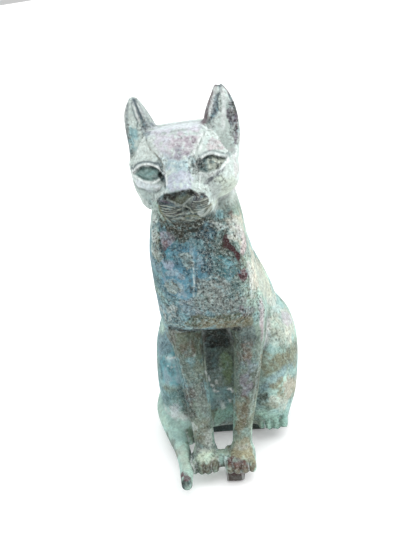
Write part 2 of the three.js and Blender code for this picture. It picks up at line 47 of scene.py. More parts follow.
# The shift takes shapes to the frame, where the middle of the rear tang's underside is the origin.
SHIFT = (-REAR_TANG[0], -REAR_TANG[1] - REAR_TANG[3] / 2, TANG_DEPTH)
RIGHT, LEFT = -1, 1          # the cat's own right side is on the left as seen from the front
FACE_MIDDLE = -0.5           # x of the middle of the forehead band
FAR = 40.0                   # the distance held where nothing has been added yet
ROOM = 1.5                   # space kept round a shape where it can still change the distances
CELL = 1.66                  # spacing of the grid that the skin is taken from, with its corners below
LOW, HIGH = (-36, -46, -8), (34, 46, 136)

# The view of the photograph, and its size in pixels.
VIEW_TURN, VIEW_HEIGHT, VIEW_ROLL = math.radians(9.3), math.radians(21.8), math.radians(9.3)
VIEW_DISTANCE = 280.0
VIEW_TARGET = np.array([-0.7, 0.0, 64.4])
VIEW_LENS, SENSOR_WIDTH = 50.94, 36
PHOTO_WIDE, PHOTO_HIGH = 410, 547
# A line of sight is followed this far before and behind the cat's middle, in steps this long.
SIGHT_REACH, SIGHT_STEP = 65, 0.5


# Sculpting with distances, negative inside the bronze.


class Clay:
    """Bronze as distances at places, either on a grid or at loose points."""

    def join(self, shape, blend, sign):
        distance, low, high = shape
        part, x, y, z = self.window(np.subtract(low, blend + ROOM), np.add(high, blend + ROOM))
        self.field[part] = sign * soft_min(sign * self.field[part], distance(x, y, z), blend)

    def add(self, shape, blend=0.0):
        self.join(shape, blend, 1)

    def cut(self, shape, blend=0.0):
        self.join(shape, blend, -1)

    def raise_by(self, height, low, high):
        part, x, y, z = self.window(low, high)
        self.field[part] -= height(x, y, z)

    def flatten_below(self, level):
        part, x, y, z = self.window(LOW, HIGH)
        self.field[part] = np.maximum(self.field[part], level - z)


class Grid(Clay):
    def __init__(self, low, high, cell):
        self.cell = cell
        self.axes = [np.arange(a, b + cell, cell).astype(np.float32) for a, b in zip(low, high)]
        self.field = np.full([len(a) for a in self.axes], FAR, np.float32)

    def window(self, low, high):
        cuts = []
        for axis, a, b in zip(self.axes, low, high):
            i, j = np.searchsorted(axis, [a, b])
            cuts.append(slice(max(0, i - 1), min(len(axis), j + 1)))
        x = self.axes[0][cuts[0]][:, None, None]
        y = self.axes[1][cuts[1]][None, :, None]
        z = self.axes[2][cuts[2]][None, None, :]
        return tuple(cuts), x, y, z


class Points(Clay):
    def __init__(self, places):
        self.places = places
        self.field = np.full(len(places), FAR)

    def window(self, low, high):
        part = in_box(self.places, low, high)
        return (part, *self.places[part].T)


def in_box(places, low, high):
    return np.flatnonzero(np.all((places >= low) & (places <= high), axis=1))


def soft_min(a, b, k):
    if k <= 0:
        return np.minimum(a, b)
    h = np.maximum(k - np.abs(a - b), 0) / k
    return np.minimum(a, b) - h * h * (k / 4)


def soft_max(a, b, k):
    return -soft_min(-a, -b, k)


def smooth(t):
    t = np.clip(t, 0, 1)
    return t * t * (3 - 2 * t)


def bump(t):
    """A rounded ridge, 1 at t = 0 and gone by t = 2."""
    return np.exp(-t * t)


def turn(x, y, z, centre, pitch, roll):
    """Places as a tilted ball at the centre sees them."""
    x, y, z = x - centre[0], y - centre[1], z - centre[2]
    if roll:
        c, s = math.cos(math.radians(roll)), math.sin(math.radians(roll))
        x, z = c * x + s * z, -s * x + c * z
    if pitch:
        c, s = math.cos(math.radians(pitch)), math.sin(math.radians(pitch))
        y, z = c * y + s * z, -s * y + c * z
    return x, y, z


def ball(centre, radii, pitch=0.0, roll=0.0, flat=2.0):
    """An ellipsoid; flat above 2 makes it boxier."""
    reach = [max(radii)] * 3 if pitch or roll else radii

    def distance(x, y, z):
        x, y, z = turn(x, y, z, centre, pitch, roll)
        x, y, z = abs(x) / radii[0] + 1e-6, abs(y) / radii[1] + 1e-6, abs(z) / radii[2] + 1e-6
        size = (x**flat + y**flat + z**flat) ** (1 / flat)
        slope = size ** (1 - flat) * np.sqrt(
            (x ** (flat - 1) / radii[0]) ** 2
            + (y ** (flat - 1) / radii[1]) ** 2
            + (z ** (flat - 1) / radii[2]) ** 2
        )
        if flat == 2.0:
            return size * (size - 1) / (slope * size)
        return (size - 1) / slope

    return distance, np.subtract(centre, reach), np.add(centre, reach)


def limb(points, radii, squash=(1, 1, 1)):
    """A round bar along points, its radius changing from point to point."""
    pts = np.array(points, float)
    q = np.array(squash, float)

    def distance(x, y, z):
        best = None
        for a, b, ra, rb in zip(pts[:-1], pts[1:], radii[:-1], radii[1:]):
            e = (b - a) / q
            px, py, pz = (x - a[0]) / q[0], (y - a[1]) / q[1], (z - a[2]) / q[2]
            t = np.clip((px * e[0] + py * e[1] + pz * e[2]) / (e @ e), 0, 1)
            d = np.sqrt((px - t * e[0]) ** 2 + (py - t * e[1]) ** 2 + (pz - t * e[2]) ** 2)
            d = (d - (ra + t * (rb - ra))) * min(q)
            best = d if best is None else np.minimum(best, d)
        return best

    reach = max(radii) * max(squash)
    return distance, pts.min(0) - reach, pts.max(0) + reach


def through(points, steps):
    """A smooth curve through points, each a place and a radius."""
    p = np.array(points, float)
    p = np.vstack([2 * p[0] - p[1], p, 2 * p[-1] - p[-2]])
    out = []
    for a, b, c, d in zip(p[:-3], p[1:-2], p[2:-1], p[3:]):
        for t in np.arange(steps) / steps:
            even, odd = 2 * a - 5 * b + 4 * c - d, 3 * b - a - 3 * c + d
            out.append(0.5 * (2 * b + (c - a) * t + even * t * t + odd * t**3))
    out.append(p[-2])
    return [tuple(v) for v in out]


def smooth_limb(points, squash=(1, 1, 1), steps=4):
    """A bar along a smooth curve; each point has its radius last."""
    fine = through(points, steps)
    return limb([p[:3] for p in fine], [p[3] for p in fine], squash)


def smooth_steps(where, stations):
    """Each column of stations as a smooth curve over the first, at the given places."""
    s = np.array(stations, float)
    k = s[:, 0]
    out = []
    for v in s[:, 1:].T:
        slope = np.gradient(v, k)
        i = np.clip(np.searchsorted(k, where) - 1, 0, len(k) - 2)
        h = k[i + 1] - k[i]
        t = np.clip((where - k[i]) / h, 0, 1)
        out.append(
            (2 * t**3 - 3 * t**2 + 1) * v[i]
            + (t**3 - 2 * t**2 + t) * h * slope[i]
            + (3 * t**2 - 2 * t**3) * v[i + 1]
            + (t**3 - t**2) * h * slope[i + 1]
        )
    return out


def loft(stations, flat, round_ends):
    """An upright loft: stations of (height, left edge, right edge, front, back)."""
    s = np.array(stations, float)

    def distance(x, y, z):
        a, b, f, k = smooth_steps(z, s)
        w, h = (b - a) / 2, (k - f) / 2
        px = abs(x - (a + b) / 2) / w + 1e-6
        py = abs(y - (f + k) / 2) / h + 1e-6
        n = (px**flat + py**flat) ** (1 / flat)
        slope = n ** (1 - flat) * np.sqrt((px ** (flat - 1) / w) ** 2 + (py ** (flat - 1) / h) ** 2)
        return soft_max((n - 1) / slope, np.maximum(z - s[-1, 0], s[0, 0] - z), round_ends)

    low = np.array([s[:, 1].min(), s[:, 3].min(), s[0, 0]])
    high = np.array([s[:, 2].max(), s[:, 4].max(), s[-1, 0]])
    return distance, low, high


def slab(centre, halves, corner):
    """A box with slightly rounded edges."""

    def distance(x, y, z):
        q = [abs(v - c) - h + corner for v, c, h in zip((x, y, z), centre, halves)]
        outside = np.sqrt(sum(np.maximum(v, 0) ** 2 for v in q))
        return outside + np.minimum(np.maximum(np.maximum(q[0], q[1]), q[2]), 0) - corner

    return distance, np.subtract(centre, halves), np.add(centre, halves)


def from_line(x, z, points):
    """Distance from a broken line in the plane of x and z."""
    best = None
    for (ax, az), (bx, bz) in zip(points[:-1], points[1:]):
        dx, dz = bx - ax, bz - az
        t = np.clip(((x - ax) * dx + (z - az) * dz) / (dx * dx + dz * dz), 0, 1)
        d = np.sqrt((x - ax - t * dx) ** 2 + (z - az - t * dz) ** 2)
        best = d if best is None else np.minimum(best, d)
    return best


# Colours, as seen; they become light intensities.


def tone(red, green, blue):
    c = np.array([red, green, blue]) / 255
    return np.where(c <= 0.04045, c / 12.92, ((c + 0.055) / 1.055) ** 2.4)


WHITE = tone(232, 238, 236)
PALE = tone(206, 217, 212)
MINT = tone(172, 201, 188)
LIME = tone(200, 212, 188)
TURQUOISE = tone(122, 168, 174)
BLUE = tone(86, 144, 168)
TEAL = tone(72, 108, 110)
OLIVE = tone(116, 120, 94)
GREEN = tone(92, 116, 94)
GREY = tone(142, 152, 146)
SAND = tone(170, 166, 142)
UMBER = tone(88, 76, 60)
DARK = tone(40, 44, 38)
SLATE = tone(84, 98, 106)
PLUM = tone(88, 68, 88)
LILAC = tone(196, 190, 208)
RUST = tone(124, 74, 62)
OXBLOOD = tone(58, 22, 27)
NIGHT = tone(36, 46, 46)
STONE = tone(88, 102, 100)
MAUVE = tone(100, 80, 88)
BROWN = tone(126, 108, 94)
IRIS = tone(96, 128, 124)
KHAKI = tone(172, 180, 166)
DUSK = tone(78, 91, 82)
FAWN = tone(100, 98, 96)
DAMSON = tone(86, 88, 96)
MOSS = tone(108, 116, 98)
SAGE = tone(162, 180, 175)
FROST = tone(202, 198, 210)
SKY = tone(141, 172, 184)
ROSE = tone(196, 178, 184)
STEEL = tone(128, 140, 150)
BARK = tone(72, 76, 62)
NAVY = tone(54, 74, 82)
LAGOON = tone(84, 154, 166)
FOG = tone(150, 164, 172)
ASH = tone(136, 146, 142)
CRUST = tone(96, 122, 124)
FERNY = tone(96, 104, 84)
WINE = tone(92, 48, 60)
ICE = tone(222, 228, 238)
CREAM = tone(208, 204, 188)
TAN = tone(126, 122, 96)
BLACK = tone(32, 34, 30)
FERN = tone(136, 158, 120)
MIST = tone(150, 170, 166)
MISTBLUE = tone(118, 150, 164)
JADE = tone(128, 168, 152)
SEAFOAM = tone(168, 203, 195)
RUSTY = tone(86, 54, 56)
DUSTY = tone(84, 108, 110)


def view_axes():
    """Across, up and towards the viewer of the photograph."""
    c, s = math.cos, math.sin
    back = np.array([s(VIEW_TURN) * c(VIEW_HEIGHT), -c(VIEW_TURN) * c(VIEW_HEIGHT), s(VIEW_HEIGHT)])
    right = np.cross(-back, (0, 0, 1))
    right /= np.linalg.norm(right)
    up = np.cross(right, -back)
    return c(VIEW_ROLL) * right - s(VIEW_ROLL) * up, s(VIEW_ROLL) * right + c(VIEW_ROLL) * up, back


ACROSS, UPWARD, TOWARDS = view_axes()


# Lines carved or painted: height, half width, colour, strength, and where they run in the photograph,
# in pixels from its upper left corner. Dark lines along sunk grooves and slits are partly painted shade,
# and pale lines along raised ridges are partly painted highlight.
MARKS = (
    # left ear
    (0, 0.35, SLATE, 0.6, ((128.8, 100), (127.6, 105), (126.8, 125), (128.8, 150), (129.5, 156))),
    (-0.35, 0.25, SLATE, 0.7, ((130.7, 102), (134.5, 116), (137, 120), (137.5, 126))),
    (0.3, 0.4, WHITE, 0.8, ((132.5, 102), (139.5, 122))),
    (-0.6, 0.6, SLATE, 0.95, ((133.6, 100), (135.2, 103), (144.5, 126))),
    (0.2, 0.5, WHITE, 0.7, ((137.5, 103), (144, 116))),
    (-0.1, 0.3, SLATE, 0.6, ((136, 100), (140, 106), (143.6, 113), (149.6, 122.5), (153, 125.5))),
    # right ear
    (0.1, 0.8, MAUVE, 0.8, ((215.2, 85), (211.3, 96), (204.6, 120), (203.4, 124.4))),
    (0.35, 0.4, WHITE, 0.85, ((216.8, 86), (212.5, 99.4), (209.7, 111), (208.6, 118))),
    (-0.5, 0.35, SLATE, 0.75, ((219.2, 85.5), (220.4, 88.7), (220.2, 92.3), (217.6, 95.9), (216.6, 99.4),
        (217.3, 103.7), (216.8, 110), (213.6, 113.7), (210.9, 118))),
    (0.3, 0.8, WHITE, 0.8, ((222.5, 89), (223.8, 105), (222.5, 128))),
    (0, 0.3, MAUVE, 0.7, ((214.5, 84), (217.1, 83.6), (221.2, 84.8), (224.6, 87.2), (227.3, 90.6),
        (229.3, 94.8))),
    (-0.15, 0.35, SLATE, 0.8, ((229.3, 94.8), (233.5, 107))),
    (-0.1, 0.7, NIGHT, 0.9, ((233.3, 104), (235, 109), (235.9, 114))),
    (-0.1, 0.4, PLUM, 0.85, ((235.9, 114), (236.6, 135), (235.5, 143))),
    # brow band and forehead
    (-0.25, 0.2, UMBER, 0.6, ((146.1, 139.1), (147.5, 143.4), (150.7, 149.9), (155, 153.4), (161.5, 161.5),
        (163.2, 166))),
    (0.35, 0.35, WHITE, 0.85, ((203.3, 132), (192.7, 155))),
    (0.3, 0.3, WHITE, 0.6, ((207, 128), (205.5, 134), (199.5, 150.5))),
    (-0.3, 0.25, GREY, 0.6, ((205.3, 131), (195.6, 153.5))),
    (-0.2, 0.3, GREY, 0.5, ((153, 126), (162, 125.6), (172, 124.6), (182, 122.8), (200, 120.5))),
    # corner of the eyes
    (-0.4, 0.28, NIGHT, 0.85, ((163.6, 180.5), (165.3, 186.5))),
    (0.3, 0.3, WHITE, 0.7, ((163.6, 170), (165.4, 174), (166.4, 179), (166.8, 185))),
    (-0.4, 0.55, NIGHT, 0.75, ((199.5, 159.5), (198.5, 163), (199.5, 168.5))),
    (-0.2, 0.4, STONE, 0.7, ((192.5, 165), (199, 170.5))),
    (0, 0.35, STONE, 0.6, ((195, 158.5), (197, 160.5))),
    (0, 0.3, STONE, 0.5, ((191, 156.5), (194, 156))),
    (-0.1, 0.3, DAMSON, 0.6, ((222, 171.5), (225.5, 166))),
    (0, 0.5, DAMSON, 0.5, ((212, 178), (208, 181), (205, 184))),
    (-0.3, 0.6, NIGHT, 0.97, ((160.3, 175), (162, 177.5), (163, 180.5))),
    # nose
    (-0.9, 0.85, BLACK, 1.0, ((165.5, 196.6), (172, 196), (175.6, 194), (187.3, 192.7), (191, 193.3))),
    (-0.4, 0.4, NIGHT, 0.9, ((182, 193.8), (187, 193.8), (190.6, 194.3))),
    (0.35, 0.28, GREY, 0.65, ((167, 198.6), (170.6, 201.2), (174.6, 202.6))),
    (0.35, 0.28, GREY, 0.6, ((175, 203), (176.8, 204.7), (182, 205.3))),
    (0.4, 0.3, GREY, 0.7, ((192.5, 196.8), (189.3, 199), (182.7, 205.5), (176.7, 206.2))),
    (-0.8, 0.4, NIGHT, 1.0, ((175.6, 208.6), (178, 207.5), (181, 207.2))),
    (-0.6, 0.4, NIGHT, 0.95, ((185, 207.5), (188.6, 208.8))),
    (-0.6, 0.35, NIGHT, 0.95, ((176.7, 211.6), (180.3, 210.4))),
    (-0.4, 0.3, NIGHT, 0.8, ((190.6, 212.7), (192.6, 213))),
    # whiskers, cat's right
    (0.3, 0.17, KHAKI, 0.6, ((160.6, 205.6), (166, 206), (174, 208))),
    (0.3, 0.17, KHAKI, 0.6, ((159.4, 207.3), (164.6, 209), (175.3, 209.2))),
    (0.35, 0.17, KHAKI, 0.6, ((160, 209.6), (166.6, 211.6), (172, 211.6), (181.6, 208.6))),
    (0.3, 0.17, KHAKI, 0.6, ((161.6, 212.5), (166, 213.6), (171, 213.3), (175.6, 212.2))),
    (-0.35, 0.2, NIGHT, 0.8, ((159.5, 206.5), (170, 208.4), (174.6, 208.6))),
    (-0.35, 0.2, NIGHT, 0.8, ((160, 208.5), (165.5, 210.4), (171, 210.6), (176, 209.6))),
    (-0.35, 0.2, NIGHT, 0.7, ((160.6, 211.2), (166, 212.7), (171.5, 212.5), (176.5, 211.2))),
    (0.2, 0.2, PLUM, 0.7, ((160, 200.6), (165, 201.5), (169.5, 203.5))),
    (-0.3, 0.22, NIGHT, 0.7, ((159.3, 203.5), (165, 203.6), (174, 206.3))),
    # whiskers, cat's left
    (0.3, 0.17, KHAKI, 0.55, ((193.3, 201.6), (197, 201.9), (200.6, 201.3), (208.3, 198.7))),
    (0.3, 0.17, KHAKI, 0.55, ((192.6, 204), (197, 204.3), (203.6, 202.8), (208, 201))),
    (0.35, 0.17, KHAKI, 0.55, ((192.6, 206), (198, 206), (202.6, 205), (209.3, 201.7))),
    (0.3, 0.17, KHAKI, 0.55, ((193.3, 208), (198.6, 207.7), (203.3, 206.8), (208, 204.7))),
    (0.3, 0.17, KHAKI, 0.6, ((194, 209.5), (199.3, 209.4), (204.6, 208.4), (208.6, 206.3))),
    (-0.35, 0.2, NIGHT, 0.8, ((192.9, 202.8), (197, 203.1), (204.2, 201.4), (208, 199.9))),
    (-0.35, 0.2, NIGHT, 0.8, ((192.6, 205), (197.4, 205.1), (205.2, 202.9), (208.6, 201.4))),
    (-0.35, 0.2, NIGHT, 0.8, ((193, 207), (198.2, 206.9), (203, 205.9), (207.4, 203.8))),
    (-0.35, 0.2, NIGHT, 0.7, ((193.7, 208.8), (199, 208.6), (204, 207.6), (208.4, 205.5))),
    # mouth, chin and jaw
    (0.3, 0.18, KHAKI, 0.45, ((183.3, 206), (187.3, 206.7), (190, 208.6), (193.3, 213.5))),
    (0.25, 0.3, PALE, 0.45, ((215, 204.3), (210.3, 208), (207.3, 212), (204, 215.3), (200.6, 215.6),
        (199, 214.3))),
    (0.3, 0.18, KHAKI, 0.45, ((166.6, 215.3), (170.6, 216.3), (174.6, 216.3), (178.6, 214.6),
        (183, 213.6))),
    (0.3, 0.18, KHAKI, 0.45, ((165, 217.8), (167.4, 219), (169.6, 221), (170, 223.3))),
    (0.3, 0.18, KHAKI, 0.45, ((182, 219.6), (190, 220.6), (193.6, 219.8))),
    (0.3, 0.18, KHAKI, 0.45, ((187.3, 214), (190, 211.4), (192.6, 212.6), (199.3, 211.6))),
    (-0.35, 0.25, NIGHT, 0.8, ((169, 219), (184.6, 215.3))),
    (-0.3, 0.25, NIGHT, 0.7, ((184, 223), (188, 223.2), (192, 222))),
    (0.25, 0.18, KHAKI, 0.45, ((172, 219.4), (184.6, 217.6))),
    (-0.3, 0.22, OLIVE, 0.8, ((186, 216.6), (190, 215.6), (194.6, 215.6), (199, 217))),
    (0.25, 0.18, KHAKI, 0.45, ((190, 218), (194, 217.4), (198, 218.4), (201, 218.6))),
    (-0.3, 0.35, OLIVE, 0.7, ((159, 206), (160, 210), (165.6, 219))),
    (0.2, 0.3, MINT, 0.6, ((157, 205), (158.4, 210.5), (161, 215.5), (163.5, 220))),
    # chest
    (0.3, 0.22, PALE, 0.6, ((193.3, 262), (194.2, 290), (193.5, 297))),
    (-0.2, 0.35, NIGHT, 0.5, ((196, 262), (196.8, 288))),
    (0.2, 0.25, PALE, 0.3, ((206, 279), (212, 276.5), (219, 278), (226, 281.5), (232, 287))),
    (-0.25, 0.4, NIGHT, 0.6, ((180, 300), (196, 308.5))),
    (0.2, 0.25, PALE, 0.3, ((180, 299), (186, 301.5), (192, 305))),
    (0.2, 0.25, PALE, 0.3, ((165, 283), (168, 280), (173, 279), (178, 282), (182, 287), (180, 292))),
    (-0.3, 0.4, NIGHT, 0.5, ((168, 284), (173, 283), (177, 286))),
    (0.2, 0.25, PALE, 0.3, ((180, 255), (185, 253), (190, 256))),
    (-0.3, 0.4, NIGHT, 0.55, ((183, 258), (188, 262), (190, 268))),
    (-0.5, 0.6, NIGHT, 0.6, ((161, 246), (164, 256))),
    (0.3, 0.7, PALE, 0.35, ((248.5, 262), (251, 280), (252, 296))),
    (0.1, 0.3, KHAKI, 0.25, ((168, 322.5), (186, 327.5), (196, 328.5), (214, 327))),
    (0.05, 0.35, TAN, 0.4, ((214, 327), (226, 327.5), (236, 325))),
    # painted shade under the chest's lower edge
    (-0.6, 0.6, NIGHT, 0.8, ((170, 327.5), (186, 331), (206, 331), (238, 328.5))),
    (0, 0.45, OXBLOOD, 0.85, ((236.5, 256), (240.8, 265.5))),
    # pale lines down the edges of the forelegs on low ridges, painted highlight, and beside the inner one a
    # dark line of painted shade
    (0.12, 0.25, PALE, 0.15, ((172, 332), (188, 394), (192, 408))),
    (0.12, 0.28, PALE, 0.2, ((262, 342), (258, 372), (249, 420))),
    (0.15, 0.3, GREY, 0.2, ((203, 342), (205, 360), (209, 398))),
    (-0.2, 0.3, NIGHT, 0.5, ((202, 346), (205.5, 384))),
    # belly, haunches
    (0.2, 0.3, GREY, 0.35, ((220, 350), (220.5, 368), (220.5, 390))),
    (-0.25, 0.22, NAVY, 0.5, ((162, 386.5), (170, 388), (178, 390), (186, 393))),
    (0.2, 0.35, WHITE, 1.0, ((213.5, 390), (216, 391.5), (218.5, 391))),
    (0.2, 0.3, WHITE, 1.0, ((228.5, 389), (231, 389.5), (233, 391.5))),
    (0.2, 0.3, WHITE, 0.95, ((215, 380.5), (217, 383))),
    (0.2, 0.3, WHITE, 0.95, ((229, 400), (231.3, 402))),
    (0, 0.5, SEAFOAM, 0.5, ((209, 395), (214, 396.5), (222, 396))),
    (0.2, 0.25, WHITE, 0.6, ((165.5, 357), (169, 358.5), (173, 357.5), (176.5, 359.5))),
    (0.2, 0.25, WHITE, 0.5, ((168, 366), (172, 367), (176, 366.5))),
    (0.2, 0.4, WHITE, 0.9, ((222.5, 404), (223.5, 408))),
    (0.2, 0.4, WHITE, 0.9, ((208, 377), (209.5, 380))),
    (0.2, 0.3, WHITE, 0.8, ((211, 384), (213.5, 386))),
    (0.2, 0.3, WHITE, 0.8, ((205.5, 371), (207, 374))),
    (0, 0.6, TURQUOISE, 0.6, ((206, 384), (212, 400))),
    (0, 0.5, MINT, 0.5, ((265, 300), (264.5, 320), (264, 340))),
)

# The oxblood streak on the chest, outlined in pixels of the photograph.
STREAK = ((224, 235), (227, 233.5), (228.8, 238), (228.6, 243.5), (234.5, 246.5), (238.6, 252),
    (241, 258.5), (240, 263), (236.2, 260.5), (232.3, 252.5), (228, 248), (222.5, 247.5), (222, 241.5))
